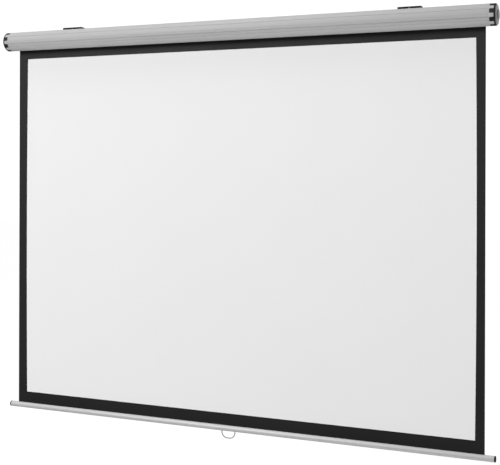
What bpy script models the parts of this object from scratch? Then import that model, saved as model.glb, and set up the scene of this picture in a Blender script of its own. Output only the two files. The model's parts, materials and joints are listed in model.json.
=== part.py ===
"""Pull-down projection screen with a round housing, spring roller and weight bar.

Metres. +X runs to the right as seen from the front, -Y faces the viewer, +Z is up. The origin lies on
the wall, at mid-length, level with the housing's axis. The screen is pulled right down.
"""
import math

import bmesh
import bpy
from mathutils import Matrix, Vector

MM = 0.001
CLEAR = 0.3 * MM                # gap kept between pieces that touch

# Projection fabric: a white image area printed with a black frame
IMAGE_WIDTH = 1540 * MM
IMAGE_HEIGHT = 1155 * MM
SIDE_BORDER = 30 * MM
TOP_BORDER = 60 * MM            # housing axis down to the image
BOTTOM_BORDER = 38 * MM         # image down to the weight bar
SIDE_BOW = 3 * MM               # the black side strips are this much narrower at mid-height
IMAGE_SHIFT = 3.5 * MM          # the frame is printed this far to the right of the middle
FABRIC_THICKNESS = 0.45 * MM

# Housing extrusion
HOUSING_RADIUS = 32 * MM
HOUSING_WALL = 1.6 * MM
TUBE_BEYOND_FABRIC = 12.7 * MM
SLOT_START = 298.0              # degrees from the rear, over the top and down the front
SLOT_END = 322.0
LIP_RADIUS = 1.3 * MM
FRONT_GROOVES = ((124, 1.6, 0.4), (156, 2.2, 0.7), (187, 1.4, 0.3), (201, 2.4, 0.9), (218, 1.6, 0.5))
GROOVE_DEPTH = 0.6 * MM         # the two grooves that the wall brackets hook into
GROOVE_WIDTH = 3.2 * MM

# Screw ports inside the housing
PORT_ANGLES = (32.0, 128.0, 236.0)
PORT_RADIUS = 26.4 * MM
PORT_BORE = 1.75 * MM
PORT_BOSS = 3.2 * MM

# Wall and ceiling brackets
BRACKET_PLATE = 2.2 * MM
BRACKET_WIDTH = 70 * MM
BRACKET_INSET = 232.7 * MM      # from the tube's end to the middle of a bracket
BRACKET_TOP = 40 * MM           # above the housing axis
BRACKET_LIP_BACK = 7.6 * MM     # lip centre behind the housing axis
BRACKET_HOOK_DROP = 12.4 * MM   # hook centre below the housing axis
BRACKET_BEND = 2.4 * MM
BRACKET_NOTCH = 6 * MM
BRACKET_HOLE_SPACING = 44 * MM
BRACKET_HOLE_RADIUS = 2.6 * MM
BRACKET_HOLE_LENGTH = 10 * MM
WALL_HOLE_HEIGHT = 22 * MM
CLAMP_BACK = 12.5 * MM          # clamp screw behind the housing axis
CLAMP_RADIUS = 2.5 * MM

# End caps
TRIM_BAND = 2.7 * MM
FINGER_LENGTH = 12.3 * MM
FINGER_COUNT = 8
FINGER_ANGLE = 166.4            # first finger, degrees from the rear
FINGER_SPAN = 24.0
FLANGE_THICKNESS = 4.0 * MM
SLEEVE_REACH = 9.7 * MM         # how far the cap plugs into the tube
SLEEVE_WALL = 1.8 * MM
COVER_RADIUS = 29.0 * MM
COVER_RECESS = 1.5 * MM
COVER_THICKNESS = 4.6 * MM
DOME_RADIUS = 14.5 * MM
DOME_HEIGHT = 4.0 * MM
SEAT_RADIUS = 8.0 * MM
SEAT_BOSS = 11.0 * MM
SEAT_DEPTH = 14.5 * MM
CAP_SCREW_SHANK = 1.45 * MM
CAP_SCREW_HEAD = 2.45 * MM
CAP_SCREW_HEAD_HEIGHT = 1.6 * MM
CAP_SCREW_BITE = 12 * MM

# Roller and the fabric that stays on it
ROLLER_RADIUS = 16.0 * MM
ROLLER_WALL = 1.2 * MM
ROLLER_BEYOND_FABRIC = 3.0 * MM
WRAP_TURNS = 2.75
CHANNEL_BORE = 2.0 * MM
CHANNEL_MOUTH = 1.1 * MM
RETAINER_RADIUS = 1.6 * MM
PLUG_FLANGE = 2.0 * MM
PLUG_LENGTH = 30 * MM

# Spindle, spring and ratchet, all at the left end
SPINDLE_RADIUS = 4.0 * MM
SPINDLE_LENGTH = 262 * MM       # from the ratchet face inwards
TANG_LENGTH = 13 * MM
TANG_WIDTH = 6.8 * MM
TANG_THICKNESS = 4.0 * MM
SPRING_WIRE = 1.1 * MM
SPRING_RADIUS = 8.6 * MM
SPRING_TURNS = 16
SPRING_STEPS = 8                # straight pieces in one coil
SPRING_HUB_LENGTH = 8 * MM
RATCHET_RADIUS = 8.4 * MM
RATCHET_NOTCHES = 4
RATCHET_THICKNESS = 3.6 * MM
PAWL_PIN_RADIUS = 1.5 * MM
PAWL_PIN_CIRCLE = 12.7 * MM
PAWL_HALF_WIDTH = 1.2 * MM
PAWL_EYE = 2.7 * MM
PAWL_LENGTH = 9.6 * MM
PAWL_BITE = 2.4 * MM            # depth of the tip in its notch
FIRST_PAWL_ANGLE = 60.0

# Idle end, at the right
IDLE_PIN_RADIUS = 4.0 * MM
IDLE_PIN_REACH = 17 * MM
IDLE_PIN_DEPTH = 22 * MM

# Weight bar with its pull bail
BAR_RADIUS = 9.0 * MM
BAR_WALL = 1.2 * MM
BAR_BEYOND_FABRIC = 27.0 * MM
BAR_CAP_THICKNESS = 4.0 * MM
BAR_CAP_PLUG = 14 * MM
HEM_CENTRE = 4.4 * MM           # hem chamber above the bar's axis
HEM_BORE = 2.7 * MM
HEM_ROD_RADIUS = 2.1 * MM
HEM_MOUTH = 1.1 * MM
WEB_HEIGHT = 0.4 * MM
BAIL_WIRE = 1.5 * MM
BAIL_HALF_WIDTH = 22.5 * MM
BAIL_CORNER = 19.0 * MM         # the loop is nearly a half circle, a little flat below
BAIL_BEND = 3.0 * MM
BAIL_PIVOT_DROP = 3.6 * MM      # below the bar's axis
BAIL_DROP = 31.0 * MM           # bar's axis down to the middle of the wire
BAIL_TRUNNION = 6.0 * MM
BAIL_SLOT_HALF = 5.9 * MM
CLIP_SCREW_RADIUS = 1.5 * MM

# Sizes that follow from the ones above
FABRIC_WIDTH = IMAGE_WIDTH + 2 * SIDE_BORDER
HALF_FABRIC = FABRIC_WIDTH / 2
AXIS_Y = -(HOUSING_RADIUS + CLEAR + BRACKET_PLATE)
WRAP_PITCH = FABRIC_THICKNESS + CLEAR
WRAP_START = ROLLER_RADIUS + CLEAR
FABRIC_BACK = WRAP_START + WRAP_PITCH * WRAP_TURNS + FABRIC_THICKNESS / 2
FABRIC_Y = AXIS_Y + FABRIC_BACK
TUBE_END = HALF_FABRIC + TUBE_BEYOND_FABRIC
TUBE_BORE = HOUSING_RADIUS - HOUSING_WALL
TRIM_START = TUBE_END + CLEAR
FINGER_START = TRIM_START + TRIM_BAND + CLEAR
FLANGE_START = FINGER_START + FINGER_LENGTH
FLANGE_END = FLANGE_START + FLANGE_THICKNESS
SLEEVE_RADIUS = TUBE_BORE - CLEAR
SLEEVE_START = TUBE_END - SLEEVE_REACH
SEAT_START = FLANGE_START - SEAT_DEPTH
ROLLER_END = HALF_FABRIC + ROLLER_BEYOND_FABRIC
PLUG_FACE = ROLLER_END + CLEAR + PLUG_FLANGE
PLUG_RADIUS = ROLLER_RADIUS - ROLLER_WALL - CLEAR
RATCHET_NEAR = PLUG_FACE + CLEAR
RATCHET_FAR = RATCHET_NEAR + RATCHET_THICKNESS
BAR_Z = -(TOP_BORDER + IMAGE_HEIGHT + BOTTOM_BORDER + BAR_RADIUS)
BAR_END = HALF_FABRIC + BAR_BEYOND_FABRIC
CHANNEL_WALL = ROLLER_WALL
CHANNEL_RADIUS = ROLLER_RADIUS - ROLLER_WALL - CHANNEL_BORE * 0.8

FINE = 40                       # facets round a large visible circle
ROUND = 20                      # facets round a small one
NARROW = 12                     # facets round a pin or a screw


def polar(radius, degrees, centre=(0.0, 0.0)):
    """A point of the YZ plane, degrees from the rear (+Y) towards the top (+Z)."""
    turn = math.radians(degrees)
    return (centre[0] + radius * math.cos(turn), centre[1] + radius * math.sin(turn))


def arc(radius, start, end, pieces, centre=(0.0, 0.0)):
    """Points along an arc, both ends included."""
    return [polar(radius, start + (end - start) * i / pieces, centre) for i in range(pieces + 1)]


def circle(radius, pieces, centre=(0.0, 0.0)):
    """Points of a full circle, the closing one left out."""
    return arc(radius, 0.0, 360.0, pieces, centre)[:-1]


def sector(inner, outer, middle, span, pieces):
    """Outline of a piece of a ring."""
    low = middle - span / 2
    high = middle + span / 2
    return arc(outer, low, high, pieces) + arc(inner, high, low, pieces)


def collection(name):
    """A new collection under the scene."""
    group = bpy.data.collections.new(name)
    bpy.context.scene.collection.children.link(group)
    return group


def material(name, colour, roughness, metallic=0.0):
    """A Principled material."""
    made = bpy.data.materials.new(name)
    made.use_nodes = True
    shader = made.node_tree.nodes["Principled BSDF"]
    shader.inputs["Base Color"].default_value = (*colour, 1.0)
    shader.inputs["Roughness"].default_value = roughness
    shader.inputs["Metallic"].default_value = metallic
    made.diffuse_color = (*colour, 1.0)
    return made


def place(name, data, group, finish, location=(0.0, 0.0, 0.0)):
    """Put mesh or curve data in the scene as a named object."""
    obj = bpy.data.objects.new(name, data)
    obj.location = location
    group.objects.link(obj)
    if finish is not None and not data.materials:
        data.materials.append(finish)
    return obj


def evaluated_mesh(obj, name):
    """A welded mesh of an object as its modifiers leave it."""
    bpy.context.view_layer.update()
    graph = bpy.context.evaluated_depsgraph_get()
    mesh = bpy.data.meshes.new_from_object(obj.evaluated_get(graph))
    mesh.name = name
    mesh.transform(obj.matrix_world)
    work = bmesh.new()
    work.from_mesh(mesh)
    bmesh.ops.remove_doubles(work, verts=work.verts, dist=1e-7)
    bmesh.ops.recalc_face_normals(work, faces=work.faces)
    work.to_mesh(mesh)
    work.free()
    return mesh


def extrusion(name, loops, x_from, x_to, group, finish, centre=(0.0, 0.0)):
    """A profile drawn in the YZ plane about a centre, run along X. Loops after the first are holes."""
    curve = bpy.data.curves.new(name, "CURVE")
    curve.dimensions = "2D"
    curve.fill_mode = "BOTH"
    curve.extrude = abs(x_to - x_from) / 2
    for loop in loops:
        spline = curve.splines.new("POLY")
        spline.points.add(len(loop) - 1)
        for point, (y, z) in zip(spline.points, loop):
            point.co = (y, z, 0.0, 1.0)
        spline.use_cyclic_u = True
    drawn = place(name + "_drawn", curve, group, None)
    drawn.rotation_euler = (math.pi / 2, 0.0, math.pi / 2)
    mesh = evaluated_mesh(drawn, name)
    bpy.data.objects.remove(drawn)
    return place(name, mesh, group, finish, ((x_from + x_to) / 2, centre[0], centre[1]))


def turned(name, outline, group, finish, centre=(0.0, 0.0), steps=ROUND, closed=False):
    """A shape turned about an axis along X. The outline's (x, radius) points run from high x to low x
    down the outer side."""
    mesh = bpy.data.meshes.new(name)
    points = [(radius, 0.0, x) for x, radius in outline]
    edges = [(i, i + 1) for i in range(len(points) - 1)]
    if closed:
        edges.append((len(points) - 1, 0))
    mesh.from_pydata(points, edges, [])
    obj = place(name, mesh, group, finish, (0.0, centre[0], centre[1]))
    obj.rotation_euler = (0.0, math.pi / 2, 0.0)
    screw = obj.modifiers.new("Turn", "SCREW")
    screw.axis = "Z"
    screw.angle = 2 * math.pi
    screw.steps = steps
    screw.render_steps = steps
    screw.use_merge_vertices = True
    screw.merge_threshold = 1e-6
    screw.use_smooth_shade = True
    return obj


def ring_outline(x_from, x_to, inner, outer):
    """Closed outline of a plain ring, for turned()."""
    return [(x_to, outer), (x_from, outer), (x_from, inner), (x_to, inner)]


def cylinder(name, radius, x_from, x_to, group, finish, centre=(0.0, 0.0), steps=NARROW):
    """A cylinder that lies along X."""
    bpy.ops.mesh.primitive_cylinder_add(
        vertices=steps, radius=radius, depth=x_to - x_from,
        location=((x_from + x_to) / 2, centre[0], centre[1]), rotation=(0.0, math.pi / 2, 0.0))
    return adopt(name, group, finish)


def upright(name, radius, z_from, z_to, x, y, group, finish, steps=NARROW):
    """A cylinder that stands along Z."""
    bpy.ops.mesh.primitive_cylinder_add(
        vertices=steps, radius=radius, depth=z_to - z_from, location=(x, y, (z_from + z_to) / 2))
    return adopt(name, group, finish)


def block(name, low, high, group, finish):
    """A box between two corners."""
    centre = [(a + b) / 2 for a, b in zip(low, high)]
    bpy.ops.mesh.primitive_cube_add(size=1.0, location=centre)
    obj = adopt(name, group, finish)
    obj.data.transform(Matrix.Diagonal((*[b - a for a, b in zip(low, high)], 1.0)))
    return obj


def adopt(name, group, finish):
    """Name the primitive just added and move it to its collection."""
    obj = bpy.context.active_object
    obj.name = name
    obj.data.name = name
    for owner in list(obj.users_collection):
        owner.objects.unlink(obj)
    group.objects.link(obj)
    if finish is not None:
        obj.data.materials.append(finish)
    return obj


def as_cutter(obj):
    """Show an object as a wire guide that isn't part of the model."""
    obj.display_type = "WIRE"
    obj.hide_render = True
    return obj


def boolean(target, other, operation):
    """Add a Boolean modifier with the exact solver."""
    step = target.modifiers.new(operation.title(), "BOOLEAN")
    step.operation = operation
    step.solver = "EXACT"
    step.object = as_cutter(other)


def cut(target, *others):
    """Cut others out of target."""
    for other in others:
        boolean(target, other, "DIFFERENCE")


def fuse(target, *others):
    """Fuse others onto target."""
    for other in others:
        boolean(target, other, "UNION")


def smooth(obj, degrees=35.0):
    """Shade smooth with sharp edges kept."""
    if obj.type == "MESH" and obj.data.polygons:
        obj.data.shade_smooth()
        obj.data.set_sharp_from_angle(angle=math.radians(degrees))
    return obj


def left_copy(obj, name, group):
    """The mirror image of a finished right-hand piece, at the left end."""
    mesh = evaluated_mesh(obj, name)
    mesh.transform(Matrix.Diagonal((-1.0, 1.0, 1.0, 1.0)))
    mesh.flip_normals()
    copy = place(name, mesh, group, None)
    return smooth(copy)


def wire(name, points, radius, resolution, group, finish, location=(0.0, 0.0, 0.0)):
    """A round wire along a list of points."""
    curve = bpy.data.curves.new(name, "CURVE")
    curve.dimensions = "3D"
    curve.bevel_depth = radius
    curve.bevel_resolution = resolution
    curve.use_fill_caps = True
    spline = curve.splines.new("POLY")
    spline.points.add(len(points) - 1)
    for point, place_at in zip(spline.points, points):
        point.co = (*place_at, 1.0)
    return place(name, curve, group, finish, location)


def fillet_path(corners, radius, pieces):
    """A path through 2D corners, with an arc of the given radius at each inner corner."""
    path = [Vector(corners[0])]
    for before, corner, after in zip(corners, corners[1:], corners[2:]):
        corner = Vector(corner)
        back = (Vector(before) - corner).normalized()
        onward = (Vector(after) - corner).normalized()
        half = back.angle(onward) / 2
        reach = radius / math.tan(half)
        centre = corner + (back + onward).normalized() * (radius / math.sin(half))
        first = corner + back * reach - centre
        last = corner + onward * reach - centre
        sweep = first.angle_signed(last)
        for i in range(pieces + 1):
            path.append(centre + Matrix.Rotation(-sweep * i / pieces, 2) @ first)
    path.append(Vector(corners[-1]))
    return path


def strip_outline(path, thickness):
    """The outline of a plate of one thickness bent along a path."""
    sides = ([], [])
    for i, point in enumerate(path):
        ahead = path[min(i + 1, len(path) - 1)] - path[max(i - 1, 0)]
        normal = Vector((-ahead.y, ahead.x)).normalized() * thickness / 2
        sides[0].append(tuple(point + normal))
        sides[1].append(tuple(point - normal))
    return sides[0] + sides[1][::-1]


def grooved_arc(radius, start, end, step, grooves):
    """Points along an arc that dips into a rounded groove at each (angle, width, depth)."""
    stops = []
    spans = [(angle, math.degrees(width / 2 / radius)) for angle, width, depth in grooves]
    count = math.ceil((end - start) / step)
    for i in range(count + 1):
        angle = start + (end - start) * i / count
        if all(abs(angle - middle) > half * 1.2 for middle, half in spans):
            stops.append((angle, radius))
    for (angle, width, depth), (middle, half) in zip(grooves, spans):
        stops += [(angle - half, radius), (angle - half * 0.6, radius - depth * 0.8), (angle, radius - depth),
                  (angle + half * 0.6, radius - depth * 0.8), (angle + half, radius)]
    return [polar(distance, angle) for angle, distance in sorted(stops)]


def port_foot():
    """Half the angle that a screw port takes up at the housing's inner wall."""
    return math.degrees(math.asin(PORT_BOSS * 1.1 / TUBE_BORE))


def screw_port(angle):
    """The housing's inner wall where it turns in round one open screw port, from high to low angle."""
    centre = polar(PORT_RADIUS, angle)
    foot = port_foot()
    inward = angle + 180.0
    points = [polar(TUBE_BORE, angle + foot)]
    points += arc(PORT_BOSS, inward - 100, inward - 42, 4, centre)
    points += arc(PORT_BORE, inward - 38, inward - 322, 12, centre)
    points += arc(PORT_BOSS, inward + 42, inward + 100, 4, centre)
    points.append(polar(TUBE_BORE, angle - foot))
    return points


def hook_groove_angles():
    """Angles of the top and rear grooves that the wall brackets hook into."""
    lip = math.degrees(math.acos(BRACKET_LIP_BACK / HOUSING_RADIUS))
    hook = -math.degrees(math.asin(BRACKET_HOOK_DROP / HOUSING_RADIUS))
    return lip, hook


def housing_outline():
    """Outer wall with its grooves, a rolled lip at each side of the slot, inner wall with screw ports."""
    start = SLOT_END - 360.0
    end = SLOT_START
    hooks = [(angle, GROOVE_WIDTH, GROOVE_DEPTH) for angle in hook_groove_angles()]
    grooves = [(angle, width * MM, depth * MM) for angle, width, depth in FRONT_GROOVES] + hooks
    outer = grooved_arc(HOUSING_RADIUS, start, end - 1, 5.0, grooves)
    front_lip = arc(LIP_RADIUS, end, end + 180, 6, polar(HOUSING_RADIUS - LIP_RADIUS, end))
    rear_lip = arc(LIP_RADIUS, start + 180, start + 360, 6, polar(HOUSING_RADIUS - LIP_RADIUS, start))
    inner = []
    stops = [end - 4.5] + [edge for angle in sorted(PORT_ANGLES, reverse=True) for edge in (angle, angle)]
    stops.append(start + 4.5)
    foot = port_foot()
    for high, low in zip(stops[::2], stops[1::2]):
        first = high if high == stops[0] else high - foot
        last = low if low == stops[-1] else low + foot
        pieces = max(2, round((first - last) / 9))
        run = arc(TUBE_BORE, first, last, pieces)
        inner += run if high == stops[0] else run[1:]
        if low != stops[-1]:
            inner = inner[:-1] + screw_port(low)
    return outer + front_lip + inner + rear_lip[:-1]


def channel_outline(outer_radius, wall, mouth, bore, centre_radius, pieces):
    """A round tube with a slotted round channel inside its wall at the top, as outer loop and hole."""
    centre = (0.0, centre_radius)
    lip = math.degrees(math.asin(mouth / 2 / outer_radius))
    throat = math.degrees(math.asin(mouth / 2 / bore))
    skin = bore + wall
    loop = arc(outer_radius, 90 + lip, 450 - lip, pieces)
    loop += arc(bore, 90 - throat, throat - 270, 12, centre)
    inner = outer_radius - wall
    meet = math.degrees(math.asin(min(skin * 1.15 / inner, 0.9)))
    hole = arc(inner, 90 + meet, 450 - meet, pieces)
    hole += arc(skin, -20, -160, 6, centre)
    return loop, hole


def make_housing(group, guides, finish):
    """The round aluminium extrusion, open along its lower rear for the fabric."""
    tube = extrusion("housing_tube", [housing_outline()], -TUBE_END, TUBE_END, group, finish["aluminium"],
                     (AXIS_Y, 0.0))
    smooth(tube, 25)
    return tube


def finger_angles():
    """Middle angle of each finger round the end cap."""
    return [FINGER_ANGLE + i * 360.0 / FINGER_COUNT for i in range(FINGER_COUNT)]


def make_end_cap(group, guides, finish):
    """The right end cap: sleeve, castellated fingers, flange, screw posts and roller seat."""
    edge = 0.6 * MM
    floor = FLANGE_END - COVER_RECESS
    recess = COVER_RADIUS + CLEAR
    outline = [
        (floor, 0.0), (floor, recess), (FLANGE_END, recess), (FLANGE_END, HOUSING_RADIUS - edge),
        (FLANGE_END - edge, HOUSING_RADIUS), (FLANGE_START, HOUSING_RADIUS), (FLANGE_START, SLEEVE_RADIUS),
        (SLEEVE_START + edge, SLEEVE_RADIUS), (SLEEVE_START, SLEEVE_RADIUS - edge),
        (SLEEVE_START, SLEEVE_RADIUS - SLEEVE_WALL), (FLANGE_START, SLEEVE_RADIUS - SLEEVE_WALL),
        (FLANGE_START, SEAT_BOSS), (SEAT_START, SEAT_BOSS), (SEAT_START, SEAT_RADIUS + CLEAR),
        (FLANGE_START, SEAT_RADIUS + CLEAR), (FLANGE_START, 0.0)]
    cap = turned("end_cap_right", outline, group, finish["black_plastic"], (AXIS_Y, 0.0), FINE)
    centre = (AXIS_Y, 0.0)
    for i, angle in enumerate(finger_angles()):
        shape = sector(SLEEVE_RADIUS - SLEEVE_WALL / 2, HOUSING_RADIUS - 0.05 * MM, angle, FINGER_SPAN, 3)
        fuse(cap, extrusion(f"finger_{i}", [shape], FINGER_START, FLANGE_START + 1.2 * MM, guides, None, centre))
    for i, angle in enumerate(PORT_ANGLES):
        port = polar(PORT_RADIUS, angle, centre)
        post = cylinder(f"post_{i}", PORT_BOSS, TRIM_START, FLANGE_START + 1.0 * MM, guides, None, port)
        around = cylinder(f"relief_{i}", PORT_BOSS + 2 * CLEAR, SLEEVE_START - MM, TRIM_START - CLEAR / 2, guides,
                          None, port)
        neck = sector(PORT_RADIUS, HOUSING_RADIUS, angle, 2 * port_foot() + 2.0, 4)
        beside = extrusion(f"neck_{i}", [neck], SLEEVE_START - MM, TRIM_START - CLEAR / 2, guides, None, centre)
        hole = cylinder(f"hole_{i}", CAP_SCREW_SHANK + CLEAR, TRIM_START - MM, FLANGE_END, guides, None, port)
        head = cylinder(f"head_{i}", CAP_SCREW_HEAD + CLEAR, floor - CAP_SCREW_HEAD_HEIGHT, FLANGE_END, guides,
                        None, port)
        fuse(cap, post)
        cut(cap, around, beside, hole, head)
    slot = sector(SLEEVE_RADIUS - 3 * SLEEVE_WALL, HOUSING_RADIUS, (SLOT_START + SLOT_END) / 2,
                  SLOT_END - SLOT_START + 12, 6)
    cut(cap, extrusion("slot_relief", [slot], SLEEVE_START - MM, TRIM_START - CLEAR / 2, guides, None, centre))
    return cap


def make_trim_ring(group, guides, finish):
    """The silver ring whose teeth fill the spaces between the cap's fingers."""
    centre = (AXIS_Y, 0.0)
    loops = [circle(HOUSING_RADIUS, FINE), circle(TUBE_BORE, FINE)]
    ring = extrusion("trim_ring_right", loops, TRIM_START, FLANGE_START - CLEAR, group, finish["silver_plastic"],
                     centre)
    gap = math.degrees(CLEAR / HOUSING_RADIUS)
    for i, angle in enumerate(finger_angles()):
        shape = sector(TUBE_BORE - MM, HOUSING_RADIUS + MM, angle, FINGER_SPAN + 2 * gap, 4)
        window = extrusion(f"window_{i}", [shape], TRIM_START + TRIM_BAND, FLANGE_START + MM, guides, None, centre)
        cut(ring, window)
    return ring


def make_cover(group, guides, finish):
    """The grey disc that hides the cap's screws, with a raised round middle."""
    base = FLANGE_END - COVER_RECESS + CLEAR
    face = base + COVER_THICKNESS
    top = face + DOME_HEIGHT
    round_off = 1.4 * MM
    outline = [(top, 0.0), (top, DOME_RADIUS - 2 * round_off)]
    outline += [(top - round_off * (1 - math.cos(a)), DOME_RADIUS - 2 * round_off + 2 * round_off * math.sin(a))
                for a in (math.radians(30), math.radians(60), math.radians(90))]
    outline += [(face + 0.4 * MM, DOME_RADIUS), (face, DOME_RADIUS + 0.4 * MM)]
    groove = COVER_RADIUS - 5 * MM
    outline += [(face, groove), (face - 0.5 * MM, groove + 0.5 * MM), (face, groove + 1.0 * MM)]
    outline += [(face, COVER_RADIUS - 1.2 * MM), (face - 0.4 * MM, COVER_RADIUS - 0.4 * MM),
                (face - 1.2 * MM, COVER_RADIUS), (base, COVER_RADIUS), (base, 0.0)]
    return turned("cover_disc_right", outline, group, finish["grey_plastic"], (AXIS_Y, 0.0), 28)


def make_cap_screw(index, angle, group, finish):
    """One self-tapping screw through the cap into a screw port."""
    seat = FLANGE_END - COVER_RECESS - CAP_SCREW_HEAD_HEIGHT + CLEAR / 2
    head = seat + CAP_SCREW_HEAD_HEIGHT - CLEAR
    tip = TUBE_END - CAP_SCREW_BITE
    outline = [
        (head, 0.0), (head, CAP_SCREW_HEAD * 0.7), (head - 0.5 * MM, CAP_SCREW_HEAD), (seat, CAP_SCREW_HEAD),
        (seat, CAP_SCREW_SHANK), (tip + 2 * MM, CAP_SCREW_SHANK), (tip, 0.3 * MM), (tip, 0.0)]
    return turned(f"cap_screw_right_{index}", outline, group, finish["zinc_steel"],
                  polar(PORT_RADIUS, angle, (AXIS_Y, 0.0)), 8)


def make_ends(group, guides, finish):
    """Both ends: the right one is modelled and the left one is its mirror image."""
    right = [make_end_cap(group, guides, finish), make_trim_ring(group, guides, finish),
             make_cover(group, guides, finish)]
    right += [make_cap_screw(i + 1, angle, group, finish) for i, angle in enumerate(PORT_ANGLES)]
    for piece in right:
        left_copy(piece, piece.name.replace("right", "left"), group)
        smooth(piece)


def make_seats(group, guides, finish):
    """The tang seat that stops the spindle turning, and the idle end's bush."""
    centre = (AXIS_Y, 0.0)
    mouth = SEAT_START - 1.5 * MM
    back = FLANGE_START - CLEAR
    collar = SEAT_BOSS - MM
    bush = turned("idle_bush", [
        (back, SEAT_RADIUS), (SEAT_START - CLEAR, SEAT_RADIUS), (SEAT_START - CLEAR, collar), (mouth, collar),
        (mouth, IDLE_PIN_RADIUS + CLEAR), (back, IDLE_PIN_RADIUS + CLEAR)],
        group, finish["nylon"], centre, ROUND, True)
    smooth(bush)
    seat = turned("tang_seat", [
        (-mouth, 0.0), (-mouth, collar), (-SEAT_START + CLEAR, collar), (-SEAT_START + CLEAR, SEAT_RADIUS),
        (-back, SEAT_RADIUS), (-back, 0.0)], group, finish["zinc_steel"], centre, ROUND)
    half_width = TANG_WIDTH / 2 + CLEAR
    half_thick = TANG_THICKNESS / 2 + CLEAR
    deep = SPINDLE_TANG_END - CLEAR
    cut(seat, block("tang_slot", (deep, AXIS_Y - half_width, -half_thick), (-mouth + MM, AXIS_Y + half_width,
                                                                          half_thick), guides, None))
    smooth(seat)


SPINDLE_SHOULDER = -(SEAT_START - 1.5 * MM - CLEAR)
SPINDLE_TANG_END = SPINDLE_SHOULDER - TANG_LENGTH
SPINDLE_INNER_END = -RATCHET_NEAR + SPINDLE_LENGTH


def make_roller(group, guides, finish, turning):
    """Steel roller tube, the rod that holds the fabric in its channel, and the turns left on it."""
    centre = (AXIS_Y, 0.0)
    loops = channel_outline(ROLLER_RADIUS, CHANNEL_WALL, CHANNEL_MOUTH, CHANNEL_BORE, CHANNEL_RADIUS, 40)
    tube = extrusion("roller_tube", loops, -ROLLER_END, ROLLER_END, group, finish["steel"], centre)
    rod_at = (AXIS_Y, CHANNEL_RADIUS)
    rod = cylinder("fabric_retainer", RETAINER_RADIUS, -HALF_FABRIC, HALF_FABRIC, group, finish["nylon"], rod_at,
                   12)
    steps = round(WRAP_TURNS * 24)
    inside = []
    outside = []
    for i in range(steps + 1):
        angle = -360.0 * WRAP_TURNS * (1 - i / steps)
        radius = WRAP_START + WRAP_PITCH * WRAP_TURNS * i / steps
        inside.append(polar(radius, -angle))
        outside.append(polar(radius + FABRIC_THICKNESS, -angle))
    wraps = extrusion("fabric_turns", [inside + outside[::-1]], -HALF_FABRIC, HALF_FABRIC, group,
                      finish["white_fabric"], centre)
    for piece in (tube, rod, wraps):
        smooth(piece, 25)
        hang(piece, turning)


def plug_relief(name, x_from, x_to, guides):
    """Room in an end plug for the roller's fabric channel."""
    return cylinder(name, (CHANNEL_BORE + CHANNEL_WALL) * 1.25 + CLEAR, x_from, x_to, guides, None,
                    (AXIS_Y, CHANNEL_RADIUS), NARROW)


def make_idle_end(group, guides, finish, turning):
    """Plug and steel pin at the right end of the roller."""
    centre = (AXIS_Y, 0.0)
    bore = IDLE_PIN_RADIUS + CLEAR
    inner = ROLLER_END - PLUG_LENGTH
    plug = turned("idle_plug", [
        (PLUG_FACE, ROLLER_RADIUS), (ROLLER_END + CLEAR, ROLLER_RADIUS), (ROLLER_END + CLEAR, PLUG_RADIUS),
        (inner + MM, PLUG_RADIUS), (inner, PLUG_RADIUS - MM), (inner, bore), (PLUG_FACE, bore)],
        group, finish["nylon"], centre, 28, True)
    cut(plug, plug_relief("idle_relief", inner - MM, ROLLER_END + CLEAR / 2, guides))
    tip = PLUG_FACE + IDLE_PIN_REACH
    base = PLUG_FACE - IDLE_PIN_DEPTH
    pin = turned("idle_pin", [
        (tip, 0.0), (tip, IDLE_PIN_RADIUS * 0.7), (tip - 1.2 * MM, IDLE_PIN_RADIUS), (base, IDLE_PIN_RADIUS),
        (base, 0.0)], group, finish["zinc_steel"], centre, ROUND)
    for piece in (plug, pin):
        smooth(piece)
        hang(piece, turning)


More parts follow.
